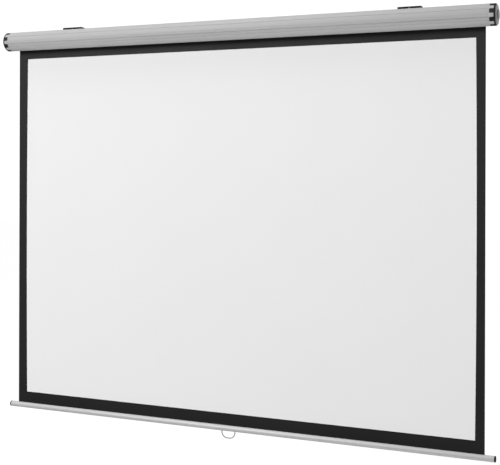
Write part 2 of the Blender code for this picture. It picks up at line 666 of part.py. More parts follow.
def make_spring_end(group, guides, finish, turning):
    """Fixed spindle, ratchet wheel, spring and its anchor, with the plug that turns round them."""
    centre = (AXIS_Y, 0.0)
    bore = SPINDLE_RADIUS + CLEAR
    spindle = turned("spindle", [
        (SPINDLE_INNER_END, 0.0), (SPINDLE_INNER_END, SPINDLE_RADIUS - 0.6 * MM),
        (SPINDLE_INNER_END - 0.6 * MM, SPINDLE_RADIUS), (SPINDLE_SHOULDER, SPINDLE_RADIUS),
        (SPINDLE_SHOULDER, TANG_THICKNESS * 0.3), (SPINDLE_SHOULDER, 0.0)],
        group, finish["zinc_steel"], centre, ROUND)
    half = TANG_WIDTH / 2
    thick = TANG_THICKNESS / 2
    fuse(spindle, block("tang", (SPINDLE_TANG_END, AXIS_Y - half, -thick),
                        (SPINDLE_SHOULDER + 2 * MM, AXIS_Y + half, thick), guides, None))
    inner = -(ROLLER_END - PLUG_LENGTH)
    hub = SPRING_RADIUS * math.cos(math.pi / SPRING_STEPS) - SPRING_WIRE - CLEAR
    hub_end = inner + SPRING_HUB_LENGTH
    plug = turned("ratchet_plug", [
        (hub_end, hub), (inner, hub), (inner, PLUG_RADIUS - MM), (inner - MM, PLUG_RADIUS),
        (-ROLLER_END - CLEAR, PLUG_RADIUS), (-ROLLER_END - CLEAR, ROLLER_RADIUS), (-PLUG_FACE, ROLLER_RADIUS),
        (-PLUG_FACE, bore), (hub_end, bore)], group, finish["nylon"], centre, 28, True)
    cut(plug, plug_relief("ratchet_relief", -ROLLER_END - CLEAR / 2, inner + MM, guides))
    anchor_face = SPINDLE_INNER_END - 24 * MM
    anchor = turned("spring_anchor", [
        (anchor_face + 8 * MM, SPRING_RADIUS + SPRING_WIRE), (anchor_face, SPRING_RADIUS + SPRING_WIRE),
        (anchor_face, hub), (anchor_face - SPRING_HUB_LENGTH, hub), (anchor_face - SPRING_HUB_LENGTH, bore),
        (anchor_face + 8 * MM, bore)], group, finish["nylon"], centre, ROUND, True)
    carrier = turned("spindle_carrier", ring_outline(anchor_face + 9 * MM, anchor_face + 19 * MM, bore, PLUG_RADIUS),
                     group, finish["nylon"], centre, 28, True)
    cut(carrier, plug_relief("carrier_relief", anchor_face + 8 * MM, anchor_face + 20 * MM, guides))
    first = inner + CLEAR + SPRING_WIRE
    last = anchor_face - CLEAR - SPRING_WIRE
    points = []
    count = SPRING_TURNS * SPRING_STEPS
    for i in range(count + 1):
        share = i / count
        y, z = polar(SPRING_RADIUS, 360.0 * SPRING_TURNS * share)
        points.append((first + (last - first) * share, y, z))
    spring = wire("torsion_spring", points, SPRING_WIRE, 1, group, finish["steel"], (0.0, AXIS_Y, 0.0))
    clip_from = -RATCHET_FAR - CLEAR - 0.8 * MM
    clip = turned("spindle_clip", ring_outline(clip_from, clip_from + 0.8 * MM, bore, SPINDLE_RADIUS + 2.6 * MM),
                  group, finish["steel"], centre, ROUND, True)
    for piece in (spindle, plug, anchor, carrier, spring, clip):
        smooth(piece)
    hang(plug, turning)
    hang(carrier, turning)
    return plug


def pawl_lean():
    """How far the pawl's edges lean in from its centre line, degrees."""
    return math.degrees(math.asin((PAWL_EYE - PAWL_HALF_WIDTH) / PAWL_LENGTH))


def pawl_angles():
    """Directions from the pawl's pin to its tip, degrees: lifted clear, and down in its notch.
    The pin lies on the +Y axis of the pawl's own frame."""
    edge = (RATCHET_RADIUS + 1.5 * CLEAR + PAWL_EYE) / PAWL_PIN_CIRCLE
    lifted = 90.0 + math.degrees(math.acos(edge)) + pawl_lean()
    low = RATCHET_RADIUS + PAWL_HALF_WIDTH - PAWL_BITE
    cosine = (PAWL_PIN_CIRCLE ** 2 + low ** 2 - PAWL_LENGTH ** 2) / (2 * PAWL_PIN_CIRCLE * low)
    tip = polar(low, math.degrees(math.acos(cosine)))
    engaged = math.degrees(math.atan2(tip[1], tip[0] - PAWL_PIN_CIRCLE))
    return lifted, engaged


def ratchet_outline():
    """A wheel with a ramp and a square stop for each notch, fitted to the pawl that is down."""
    engaged = pawl_angles()[1]
    along = Vector(polar(1.0, engaged - pawl_lean()))
    outward = Vector(polar(1.0, engaged - pawl_lean() - 90))
    tip = Vector((PAWL_PIN_CIRCLE, 0.0)) + Vector(polar(PAWL_LENGTH, engaged))
    floor = tip.dot(outward) - PAWL_HALF_WIDTH - CLEAR * 1.2
    stop = tip.dot(along) + PAWL_HALF_WIDTH + CLEAR * 1.2
    ramp_start = -math.sqrt(RATCHET_RADIUS ** 2 - floor ** 2)
    wall_top = math.sqrt(RATCHET_RADIUS ** 2 - stop ** 2)
    corners = [along * ramp_start + outward * floor, along * stop + outward * floor,
               along * stop + outward * wall_top]
    low = math.degrees(math.atan2(corners[0].y, corners[0].x))
    high = math.degrees(math.atan2(corners[2].y, corners[2].x))
    pitch = 360.0 / RATCHET_NOTCHES
    outline = []
    for i in range(RATCHET_NOTCHES):
        turn = Matrix.Rotation(math.radians(i * pitch), 2)
        outline += [tuple(turn @ corner) for corner in corners]
        outline += arc(RATCHET_RADIUS, high + i * pitch, low + (i + 1) * pitch, 5)[1:-1]
    return outline


def pawl_outline(direction):
    """A lever with a round eye and a rounded tip, about its pin."""
    tip = polar(PAWL_LENGTH, direction)
    lean = pawl_lean()
    outline = arc(PAWL_EYE, direction + 90 - lean, direction + 270 + lean, 12)
    outline += arc(PAWL_HALF_WIDTH, direction - 90 + lean, direction + 90 - lean, 6, tip)
    return outline


def rotated(outline, degrees):
    """A YZ outline turned about its origin."""
    turn = Matrix.Rotation(math.radians(degrees), 2)
    return [tuple(turn @ Vector(point)) for point in outline]


def make_ratchet(group, guides, finish, turning, plug):
    """Ratchet wheel on the spindle, and two pawls on pins in the turning plug."""
    centre = (AXIS_Y, 0.0)
    bore = circle(SPINDLE_RADIUS + CLEAR, ROUND)
    wheel = extrusion("ratchet_wheel", [rotated(ratchet_outline(), FIRST_PAWL_ANGLE), bore], -RATCHET_FAR,
                      -RATCHET_NEAR, group, finish["zinc_steel"], centre)
    smooth(wheel, 30)
    lifted = pawl_angles()[0]
    eye = circle(PAWL_PIN_RADIUS + CLEAR, 12)
    for i in range(2):
        angle = FIRST_PAWL_ANGLE + 180.0 * i
        pivot = polar(PAWL_PIN_CIRCLE, angle, centre)
        outline = rotated(pawl_outline(lifted), angle)
        pawl = extrusion(f"pawl_{i + 1}", [outline, eye], -RATCHET_FAR, -RATCHET_NEAR, group, finish["zinc_steel"],
                         pivot)
        head = -RATCHET_FAR - CLEAR
        depth = -PLUG_FACE + 8 * MM
        pin = turned(f"pawl_pin_{i + 1}", [
            (depth, 0.0), (depth, PAWL_PIN_RADIUS), (head, PAWL_PIN_RADIUS), (head, PAWL_EYE * 0.9),
            (head - 0.8 * MM, PAWL_EYE * 0.9), (head - 0.8 * MM, 0.0)], group, finish["zinc_steel"], pivot, 12)
        cut(plug, cylinder(f"pin_hole_{i + 1}", PAWL_PIN_RADIUS + CLEAR, -PLUG_FACE - MM, depth + CLEAR, guides,
                           None, pivot, 12))
        swing = joint_empty(f"pawl_swing_{i + 1}", (-RATCHET_NEAR, *pivot), group, turning)
        hang(smooth(pawl), swing)
        hang(smooth(pin), turning)


def make_fabric(group, guides, finish):
    """The flat stretch of fabric from the roller's rear down into the weight bar, white with a black frame."""
    top = -CLEAR
    bottom = BAR_Z + HEM_CENTRE + HEM_ROD_RADIUS + CLEAR
    image_top = -TOP_BORDER
    image_bottom = image_top - IMAGE_HEIGHT
    rows = 16
    levels = [top] + [image_top - IMAGE_HEIGHT * i / rows for i in range(rows + 1)] + [bottom]
    work = bmesh.new()
    grid = []
    for level in levels:
        share = min(max((image_top - level) / (image_top - image_bottom), 0.0), 1.0)
        edge = IMAGE_WIDTH / 2 + SIDE_BOW * 4 * share * (1 - share)
        across = (-HALF_FABRIC, IMAGE_SHIFT - edge, IMAGE_SHIFT + edge, HALF_FABRIC)
        grid.append([work.verts.new((x, 0.0, level)) for x in across])
    for upper, lower in zip(grid, grid[1:]):
        for i in range(3):
            face = work.faces.new((upper[i], lower[i], lower[i + 1], upper[i + 1]))
            printed = upper is grid[0] or lower is grid[-1] or i != 1
            face.material_index = 1 if printed else 0
    mesh = bpy.data.meshes.new("projection_fabric")
    work.to_mesh(mesh)
    work.free()
    mesh.materials.append(finish["white_fabric"])
    mesh.materials.append(finish["black_fabric"])
    sheet = place("projection_fabric", mesh, group, None, (0.0, FABRIC_Y, 0.0))
    shell = sheet.modifiers.new("Thickness", "SOLIDIFY")
    shell.thickness = FABRIC_THICKNESS
    shell.offset = 0.0


def make_bar(group, guides, finish, travelling):
    """The weight bar with its hem rod, end caps and the seat for the pull bail."""
    centre = (FABRIC_Y, BAR_Z)
    lip = math.degrees(math.asin(HEM_MOUTH / 2 / BAR_RADIUS))
    throat = math.degrees(math.asin(HEM_MOUTH / 2 / HEM_BORE))
    loop = arc(BAR_RADIUS, 90 + lip, 450 - lip, 36)
    loop += arc(HEM_BORE, 90 - throat, throat - 270, 12, (0.0, HEM_CENTRE))
    bore = BAR_RADIUS - BAR_WALL
    hollow = segment(bore, WEB_HEIGHT, 24)
    bar = extrusion("weight_bar", [loop, hollow], -BAR_END, BAR_END, group, finish["aluminium"], centre)
    for side in (-1, 1):
        x = side * BAIL_HALF_WIDTH
        half = BAIL_WIRE + 1.5 * CLEAR
        cut(bar, block(f"bail_slot_{side}", (x - half, FABRIC_Y - BAIL_SLOT_HALF, BAR_Z - BAR_RADIUS - MM),
                       (x + half, FABRIC_Y + BAIL_SLOT_HALF, BAR_Z - bore * 0.52), guides, None))
    cut(bar, upright("clip_screw_way", CLIP_SCREW_RADIUS + CLEAR, BAR_Z - BAR_RADIUS - MM, BAR_Z - bore + MM, 0.0,
                     FABRIC_Y, guides, None, 12))
    rod = cylinder("hem_rod", HEM_ROD_RADIUS, -HALF_FABRIC, HALF_FABRIC, group, finish["nylon"],
                   (FABRIC_Y, BAR_Z + HEM_CENTRE), 12)
    cap = make_bar_cap(group, guides, finish, centre, bore)
    other = left_copy(cap, "bar_cap_left", group)
    smooth(cap)
    clip_half = BAIL_HALF_WIDTH - BAIL_BEND - 2 * CLEAR
    clip_loops = [segment(bore - CLEAR, WEB_HEIGHT - CLEAR, 16),
                  circle(BAIL_WIRE + CLEAR, NARROW, (0.0, -BAIL_PIVOT_DROP))]
    clip = extrusion("bail_clip", clip_loops, -clip_half, clip_half, group, finish["black_plastic"], centre)
    cut(clip, upright("clip_hole", CLIP_SCREW_RADIUS + CLEAR, BAR_Z - BAR_RADIUS, BAR_Z - 1.5 * MM, 0.0, FABRIC_Y,
                      guides, None, 12))
    screw = make_clip_screw(group, finish)
    for piece in (bar, rod, cap, other, clip, screw):
        smooth(piece, 30)
        hang(piece, travelling)


def segment(radius, top, pieces):
    """The part of a circle below a level, as an outline."""
    edge = math.degrees(math.asin(top / radius))
    return arc(radius, 180 - edge, 360 + edge, pieces)


def make_bar_cap(group, guides, finish, centre, bore):
    """Black cap on the right end of the weight bar, with a plug in the bar's hollow."""
    near = BAR_END + CLEAR
    far = near + BAR_CAP_THICKNESS
    edge = 1.2 * MM
    cap = turned("bar_cap_right", [
        (far, 0.0), (far, BAR_RADIUS - edge), (far - edge * 0.3, BAR_RADIUS - edge * 0.3), (far - edge, BAR_RADIUS),
        (near, BAR_RADIUS), (near, 0.0)], group, finish["black_plastic"], centre, 28)
    plug = extrusion("bar_plug", [segment(bore - CLEAR, WEB_HEIGHT - CLEAR, 16)], BAR_END - BAR_CAP_PLUG,
                     near + MM, guides, None, centre)
    fuse(cap, plug)
    return cap


def make_clip_screw(group, finish):
    """Small screw from below that holds the bail's clip in the bar."""
    bottom = BAR_Z - BAR_RADIUS + 0.2 * MM
    top = BAR_Z - 2 * MM
    bpy.ops.mesh.primitive_cylinder_add(vertices=12, radius=CLIP_SCREW_RADIUS, depth=top - bottom,
                                        location=(0.0, FABRIC_Y, (top + bottom) / 2))
    screw = adopt("clip_screw", group, finish["zinc_steel"])
    bevel = screw.modifiers.new("Edge", "BEVEL")
    bevel.width = 0.3 * MM
    bevel.segments = 1
    return screw


def make_bail(group, finish, swinging):
    """The pull bail: one wire with both ends turned in as trunnions."""
    corner_centre = (BAIL_HALF_WIDTH - BAIL_CORNER, BAIL_CORNER - BAIL_DROP)
    inner_end = BAIL_HALF_WIDTH - BAIL_BEND - BAIL_TRUNNION
    corner = (BAIL_HALF_WIDTH - BAIL_BEND, -BAIL_PIVOT_DROP - BAIL_BEND)
    half = [(inner_end, -BAIL_PIVOT_DROP)]
    half += arc(BAIL_BEND, 90, 0, 4, corner)
    half += arc(BAIL_CORNER, 0, -90, 10, corner_centre)
    path = half + [(-x, z) for x, z in reversed(half)]
    points = [(x, 0.0, z + BAIL_PIVOT_DROP) for x, z in path]
    bail = wire("pull_bail", points, BAIL_WIRE, 2, group, finish["zinc_steel"])
    hang(bail, swinging, (0.0, FABRIC_Y, BAR_Z - BAIL_PIVOT_DROP))


def make_bracket(side, group, guides, finish, root_empty):
    """One wall and ceiling bracket that hooks over the housing, with its clamp screw."""
    hand = "right" if side > 0 else "left"
    x = side * (TUBE_END - BRACKET_INSET)
    slide = joint_empty(f"bracket_slide_{hand}", (x, AXIS_Y, 0.0), group, root_empty)
    half = BRACKET_PLATE / 2
    wall = -AXIS_Y - half
    flange = BRACKET_TOP - half
    floor = HOUSING_RADIUS - GROOVE_DEPTH
    lip_end = math.sqrt(floor ** 2 - (BRACKET_LIP_BACK - half) ** 2) + CLEAR
    hook_end = math.sqrt(floor ** 2 - (BRACKET_HOOK_DROP - half) ** 2) + CLEAR
    corners = [(BRACKET_LIP_BACK, lip_end), (BRACKET_LIP_BACK, flange), (wall, flange),
               (wall, -BRACKET_HOOK_DROP), (hook_end, -BRACKET_HOOK_DROP)]
    outline = strip_outline(fillet_path(corners, BRACKET_BEND, 3), BRACKET_PLATE)
    bracket = extrusion(f"bracket_{hand}", [outline], x - BRACKET_WIDTH / 2, x + BRACKET_WIDTH / 2, group,
                        finish["black_metal"], (AXIS_Y, 0.0))
    nut = upright(f"nut_{hand}", CLAMP_RADIUS + 2.2 * MM, flange - half - 3 * MM, flange, x, AXIS_Y + CLAMP_BACK,
                  guides, None, 6)
    fuse(bracket, nut)
    cut(bracket, upright(f"clamp_way_{hand}", CLAMP_RADIUS + CLEAR, 0.0, BRACKET_TOP + MM, x, AXIS_Y + CLAMP_BACK,
                         guides, None))
    cut(bracket, block(f"notch_{hand}", (x - BRACKET_NOTCH / 2, AXIS_Y, 0.0),
                       (x + BRACKET_NOTCH / 2, AXIS_Y + BRACKET_LIP_BACK + half + MM, flange - half), guides, None))
    for number, offset in enumerate((-BRACKET_HOLE_SPACING / 2, BRACKET_HOLE_SPACING / 2)):
        wall_slot = slotted_hole(f"wall_slot_{hand}_{number}", guides)
        wall_slot.rotation_euler = (math.pi / 2, 0.0, 0.0)
        wall_slot.location = (x + offset, 0.0, WALL_HOLE_HEIGHT)
        ceiling_slot = slotted_hole(f"ceiling_slot_{hand}_{number}", guides)
        ceiling_slot.location = (x + offset, (AXIS_Y + BRACKET_LIP_BACK) / 2, BRACKET_TOP)
        cut(bracket, wall_slot, ceiling_slot)
    screw = make_clamp_screw(hand, x, group, guides, finish)
    for piece in (bracket, screw):
        smooth(piece, 30)
        hang(piece, slide)


def slotted_hole(name, guides):
    """A cutter with round ends that stands along Z and is longer along X."""
    straight = BRACKET_HOLE_LENGTH / 2 - BRACKET_HOLE_RADIUS
    outline = arc(BRACKET_HOLE_RADIUS, -90, 90, 6, (straight, 0.0))
    outline += arc(BRACKET_HOLE_RADIUS, 90, 270, 6, (-straight, 0.0))
    work = bmesh.new()
    face = work.faces.new([work.verts.new((x, y, -2 * BRACKET_PLATE)) for x, y in outline])
    grown = bmesh.ops.extrude_face_region(work, geom=[face])["geom"]
    moved = [item for item in grown if isinstance(item, bmesh.types.BMVert)]
    bmesh.ops.translate(work, vec=(0.0, 0.0, 4 * BRACKET_PLATE), verts=moved)
    bmesh.ops.recalc_face_normals(work, faces=work.faces)
    mesh = bpy.data.meshes.new(name)
    work.to_mesh(mesh)
    work.free()
    return place(name, mesh, guides, None)


def make_clamp_screw(hand, x, group, guides, finish):
    """Socket set screw that presses the bracket tight on the housing's top."""
    y = AXIS_Y + CLAMP_BACK
    point = CLAMP_RADIUS * 0.6
    touch = math.sqrt(HOUSING_RADIUS ** 2 - (CLAMP_BACK - point) ** 2) + CLEAR
    top = BRACKET_TOP - CLEAR
    mesh = bpy.data.meshes.new(f"clamp_screw_{hand}")
    outline = [(top, 0.0), (top, CLAMP_RADIUS - 0.3 * MM), (top - 0.3 * MM, CLAMP_RADIUS),
               (touch + 1.5 * MM, CLAMP_RADIUS), (touch + 0.8 * MM, point), (touch, point), (touch, 0.0)]
    mesh.from_pydata([(radius, 0.0, z) for z, radius in outline],
                     [(i, i + 1) for i in range(len(outline) - 1)], [])
    screw = place(f"clamp_screw_{hand}", mesh, group, finish["zinc_steel"], (x, y, 0.0))
    turn = screw.modifiers.new("Turn", "SCREW")
    turn.steps = NARROW
    turn.render_steps = NARROW
    turn.use_merge_vertices = True
    turn.merge_threshold = 1e-6
    cut(screw, upright(f"socket_{hand}", CLAMP_RADIUS * 0.55, top - 2.5 * MM, top + MM, x, y, guides, None, 6))
    return screw


def joint_empty(name, location, group, parent=None):
    """An empty on a joint's axis that carries the pieces which move with it."""
    empty = bpy.data.objects.new(name, None)
    empty.empty_display_size = 0.02
    group.objects.link(empty)
    empty.location = location
    if parent is not None:
        bpy.context.view_layer.update()
        empty.parent = parent
        empty.matrix_parent_inverse = parent.matrix_world.inverted()
    bpy.context.view_layer.update()
    return empty


def hang(piece, parent, location=None):
    """Parent a piece to an empty and keep it where it is."""
    if location is not None:
        piece.location = location
    piece.parent = parent
    piece.matrix_parent_inverse = parent.matrix_world.inverted()


def clear_scene():
    """Start from an empty scene."""
    for obj in list(bpy.data.objects):
        bpy.data.objects.remove(obj)


def finishes():
    """The materials of the real object's pieces."""
    return {
        "aluminium": material("anodised_aluminium", (0.55, 0.55, 0.55), 0.38, 0.9),
        "silver_plastic": material("silver_plastic", (0.50, 0.50, 0.51), 0.35, 0.5),
        "black_plastic": material("black_plastic", (0.025, 0.025, 0.026), 0.45),
        "grey_plastic": material("grey_plastic", (0.27, 0.27, 0.275), 0.5),
        "nylon": material("nylon", (0.75, 0.74, 0.70), 0.5),
        "steel": material("galvanised_steel", (0.45, 0.46, 0.47), 0.4, 1.0),
        "zinc_steel": material("zinc_plated_steel", (0.62, 0.62, 0.62), 0.3, 1.0),
        "black_metal": material("black_painted_steel", (0.02, 0.02, 0.02), 0.5),
        "white_fabric": material("matt_white_fabric", (0.86, 0.86, 0.86), 0.85),
        "black_fabric": material("black_masking", (0.022, 0.022, 0.022), 0.7),
    }


def main():
    """Build the whole screen."""
    clear_scene()
    group = collection("pull_down_screen")
    guides = collection("cutters")
    finish = finishes()
    root = joint_empty("housing_frame", (0.0, 0.0, 0.0), group)
    turning = joint_empty("roller_spin", (0.0, AXIS_Y, 0.0), group, root)
    travelling = joint_empty("screen_travel", (0.0, FABRIC_Y, BAR_Z), group, root)
    swinging = joint_empty("bail_swing", (0.0, FABRIC_Y, BAR_Z - BAIL_PIVOT_DROP), group, travelling)
    make_housing(group, guides, finish)
    make_ends(group, guides, finish)
    make_seats(group, guides, finish)
    make_roller(group, guides, finish, turning)
    make_idle_end(group, guides, finish, turning)
    plug = make_spring_end(group, guides, finish, turning)
    make_ratchet(group, guides, finish, turning, plug)
    make_fabric(group, guides, finish)
    make_bar(group, guides, finish, travelling)
    make_bail(group, finish, swinging)
    for side in (-1, 1):
        make_bracket(side, group, guides, finish, root)


main()
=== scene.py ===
"""A pull-down projection screen: grooved housing, castellated end caps, framed fabric and weight bar."""
import json
import math

import bmesh
import bpy
from mathutils import Matrix, Vector

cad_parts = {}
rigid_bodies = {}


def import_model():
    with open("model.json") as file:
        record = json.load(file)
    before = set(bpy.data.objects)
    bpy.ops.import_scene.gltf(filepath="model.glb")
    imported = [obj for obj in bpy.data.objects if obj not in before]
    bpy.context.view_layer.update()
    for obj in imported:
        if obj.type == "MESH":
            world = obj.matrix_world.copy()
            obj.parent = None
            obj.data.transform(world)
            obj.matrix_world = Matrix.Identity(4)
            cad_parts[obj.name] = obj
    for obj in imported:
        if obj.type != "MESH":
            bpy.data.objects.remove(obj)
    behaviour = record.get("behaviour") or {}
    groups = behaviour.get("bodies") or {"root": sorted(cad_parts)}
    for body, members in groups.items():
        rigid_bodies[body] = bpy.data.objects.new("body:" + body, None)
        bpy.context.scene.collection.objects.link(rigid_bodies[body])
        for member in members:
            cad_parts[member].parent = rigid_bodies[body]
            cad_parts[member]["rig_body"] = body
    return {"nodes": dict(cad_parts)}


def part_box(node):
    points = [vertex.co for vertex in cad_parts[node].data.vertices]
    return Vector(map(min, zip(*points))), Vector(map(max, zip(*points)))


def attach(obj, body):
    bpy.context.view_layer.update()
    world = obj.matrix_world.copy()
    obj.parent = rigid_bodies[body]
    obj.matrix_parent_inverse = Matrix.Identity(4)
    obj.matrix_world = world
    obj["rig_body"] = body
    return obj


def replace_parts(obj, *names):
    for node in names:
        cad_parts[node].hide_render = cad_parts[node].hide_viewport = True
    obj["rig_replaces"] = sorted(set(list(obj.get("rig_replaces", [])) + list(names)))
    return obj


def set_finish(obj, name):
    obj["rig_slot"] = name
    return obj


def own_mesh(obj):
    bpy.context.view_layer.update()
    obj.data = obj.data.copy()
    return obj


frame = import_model()

bl_info = {
    "name": "Pull-Down Projection Screen",
    "version": (1, 0, 0),
    "blender": (4, 5, 0),
    "location": "View3D > Sidebar > Screen",
    "description": "Builds a pull-down projection screen piece by piece",
    "category": "Add Mesh",
}

MM = 0.001
CLEAR = 0.3 * MM
DOUBLED = 0.001 * MM                # points that are closer than this are one

# What the frame gives: the pieces' lowest and highest corners
HOUSING_LOW, HOUSING_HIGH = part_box("housing_tube")
CAP_LOW, CAP_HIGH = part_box("end_cap_right")
TRIM_LOW, TRIM_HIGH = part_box("trim_ring_right")
COVER_LOW, COVER_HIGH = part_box("cover_disc_right")
FABRIC_LOW, FABRIC_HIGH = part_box("projection_fabric")
TURNS_LOW, TURNS_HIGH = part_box("fabric_turns")
BAR_LOW, BAR_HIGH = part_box("weight_bar")
BAR_CAP_LOW, BAR_CAP_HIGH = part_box("bar_cap_right")

# Axes along X, as their y and z
HOUSING_RADIUS = (CAP_HIGH.y - CAP_LOW.y) / 2
HOUSING_AXIS = ((CAP_LOW.y + CAP_HIGH.y) / 2, 0.0)
AXIS_Y = HOUSING_AXIS[0]
FABRIC_Y = (FABRIC_LOW.y + FABRIC_HIGH.y) / 2
BAR_RADIUS = (BAR_CAP_HIGH.y - BAR_CAP_LOW.y) / 2
BAR_Z = BAR_CAP_LOW.z + BAR_RADIUS
BAR_AXIS = (FABRIC_Y, BAR_Z)

# The brackets' grip on the housing
BRACKET_GROOVE = 0.6                # depth of the two grooves, in millimetres
LIP_BACK = 7.6 * MM                 # lip, behind the axis
HOOK_DROP = 12.4 * MM               # hook, below the axis


class ScreenSizes(bpy.types.PropertyGroup):
    """Sizes of the pieces, in metres."""

    image_width: bpy.props.FloatProperty(
        name="Image Width", description="Width of the white area at its top", default=1537.5 * MM,
        unit="LENGTH")
    image_height: bpy.props.FloatProperty(
        name="Image Height", description="Height of the white area", default=1155 * MM, unit="LENGTH")
    top_border: bpy.props.FloatProperty(
        name="Top Border", description="Housing axis down to the white area", default=60 * MM, unit="LENGTH")
    image_shift: bpy.props.FloatProperty(
        name="Image Shift", description="How far right of the middle the frame is printed", default=3.5 * MM,
        unit="LENGTH")
    side_bow: bpy.props.FloatProperty(
        name="Side Bow", description="How much narrower the side strips are at mid-height", default=3 * MM,
        unit="LENGTH")
    housing_wall: bpy.props.FloatProperty(
        name="Housing Wall", description="Wall of the housing extrusion", default=1.6 * MM, unit="LENGTH")
    bar_wall: bpy.props.FloatProperty(
        name="Bar Wall", description="Wall of the weight bar", default=1.2 * MM, unit="LENGTH")
    bail_wire: bpy.props.FloatProperty(
        name="Bail Wire", description="Radius of the bail's wire", default=1.5 * MM, unit="LENGTH")
    bracket_plate: bpy.props.FloatProperty(
        name="Bracket Plate", description="Thickness of the bracket's steel", default=2.2 * MM, unit="LENGTH")


class ScreenColours(bpy.types.PropertyGroup):
    """Colours of the finishes."""

    aluminium: bpy.props.FloatVectorProperty(
        name="Aluminium", description="Anodised housing and bar", subtype="COLOR",
        default=(0.424, 0.424, 0.424))
    silver: bpy.props.FloatVectorProperty(
        name="Silver", description="Silver trim between the cap's fingers", subtype="COLOR",
        default=(0.42, 0.42, 0.425))
    black: bpy.props.FloatVectorProperty(
        name="Black", description="Black plastic of the caps", subtype="COLOR", default=(0.006, 0.006, 0.006))
    grey: bpy.props.FloatVectorProperty(
        name="Grey", description="Grey end covers", subtype="COLOR", default=(0.28, 0.28, 0.285))
    white_fabric: bpy.props.FloatVectorProperty(
        name="White Fabric", description="Projection surface", subtype="COLOR", default=(0.828, 0.828, 0.828))
    black_fabric: bpy.props.FloatVectorProperty(
        name="Black Fabric", description="Printed frame", subtype="COLOR", default=(0.007, 0.007, 0.007))


def sizes():
    """The sizes that the panel shows."""
    return bpy.context.scene.screen_sizes


def colours():
    """The colours that the panel shows."""
    return bpy.context.scene.screen_colours


# Shader groups and materials

def new_group(name, inputs, outputs):
    """A shader node group with named sockets, and its input and output nodes."""
    group = bpy.data.node_groups.new(name, "ShaderNodeTree")
    for label, value in inputs:
        socket = group.interface.new_socket(label, in_out="INPUT", socket_type="NodeSocketFloat")
        socket.default_value = value
    for label in outputs:
        group.interface.new_socket(label, in_out="OUTPUT", socket_type="NodeSocketFloat")
    return group, group.nodes.new("NodeGroupInput"), group.nodes.new("NodeGroupOutput")


def fill(node, values):
    """Set a node's inputs to numbers and colours, or link them to sockets."""
    for label, value in values.items():
        if isinstance(value, bpy.types.NodeSocket):
            node.id_data.links.new(value, node.inputs[label])
        else:
            node.inputs[label].default_value = value


def maths(tree, operation, *values, clamp=False):
    """A Math node; numbers or sockets go in."""
    node = tree.nodes.new("ShaderNodeMath")
    node.operation = operation
    node.use_clamp = clamp
    fill(node, dict(enumerate(values)))
    return node.outputs[0]


def map_range(tree, value, low, high, new_low=0.0, new_high=1.0):
    """A clamped Map Range node."""
    node = tree.nodes.new("ShaderNodeMapRange")
    fill(node, {"Value": value, "From Min": low, "From Max": high, "To Min": new_low, "To Max": new_high})
    return node.outputs["Result"]


def noise(tree, scale, stretch=(1.0, 1.0, 1.0), detail=3.0, roughness=0.5):
    """Noise over Object coordinates, stretched along the axes."""
    place = tree.nodes.new("ShaderNodeTexCoord")
    mapping = tree.nodes.new("ShaderNodeMapping")
    fill(mapping, {"Vector": place.outputs["Object"], "Scale": stretch})
    texture = tree.nodes.new("ShaderNodeTexNoise")
    fill(texture, {"Vector": mapping.outputs["Vector"], "Scale": scale, "Detail": detail,
                   "Roughness": roughness})
    return texture.outputs["Fac"]


def grain_group():
    """Moulded or powder-coated grain: a fine height and a broad mask."""
    group, given, out = new_group("Surface Grain", [("Scale", 900.0)], ["Height", "Mask"])
    fine = noise(group, given.outputs["Scale"], detail=2.0)
    broad = noise(group, maths(group, "DIVIDE", given.outputs["Scale"], 60.0), detail=4.0)
    fill(out, {"Height": fine, "Mask": map_range(group, broad, 0.3, 0.7)})
    return group


def drawn_group():
    """Fine lines that run along X, as an extrusion die leaves them."""
    group, given, out = new_group("Drawn Lines", [("Scale", 500.0)], ["Height", "Mask"])
    lines = noise(group, given.outputs["Scale"], (0.004, 1.0, 1.0), detail=4.0, roughness=0.65)
    broad = noise(group, 5.0, (0.25, 4.0, 4.0), detail=3.0)
    fill(out, {"Height": lines, "Mask": map_range(group, broad, 0.3, 0.7)})
    return group


def wear_group():
    """A mask of rubbed edges."""
    group, given, out = new_group("Edge Wear", [("Amount", 0.5), ("Scale", 300.0)], ["Mask"])
    geometry = group.nodes.new("ShaderNodeNewGeometry")
    edges = map_range(group, geometry.outputs["Pointiness"], 0.53, 0.62)
    patches = map_range(group, noise(group, given.outputs["Scale"], detail=5.0), 0.42, 0.62)
    rubbed = maths(group, "MULTIPLY", edges, patches)
    fill(out, {"Mask": maths(group, "MULTIPLY", rubbed, given.outputs["Amount"], clamp=True)})
    return group


def facing_group(name, low, high, scale, detail, least):
    """A patchy mask that grows from none at one upward tilt of a face to full at another, for settled dust
    and for painted shade.
    """
    group, given, out = new_group(name, [("Amount", 0.3)], ["Mask"])
    geometry = group.nodes.new("ShaderNodeNewGeometry")
    split = group.nodes.new("ShaderNodeSeparateXYZ")
    fill(split, {"Vector": geometry.outputs["Normal"]})
    facing = map_range(group, split.outputs["Z"], low, high)
    patches = map_range(group, noise(group, scale, detail=detail), 0.35, 0.7, least, 1.0)
    dust_and_shade_veil = maths(group, "MULTIPLY", facing, patches)
    fill(out, {"Mask": maths(group, "MULTIPLY", dust_and_shade_veil, given.outputs["Amount"], clamp=True)})
    return group


def dust_group():
    """Dust that settles on faces that look up."""
    return facing_group("Settled Dust", 0.35, 1.0, 45.0, 6.0, 0.35)


def painted_shade_below_group():
    """Painted shade on faces that look down: the bar darker towards its bottom."""
    return facing_group("Handled Underside", 0.55, -0.75, 30.0, 4.0, 0.8)


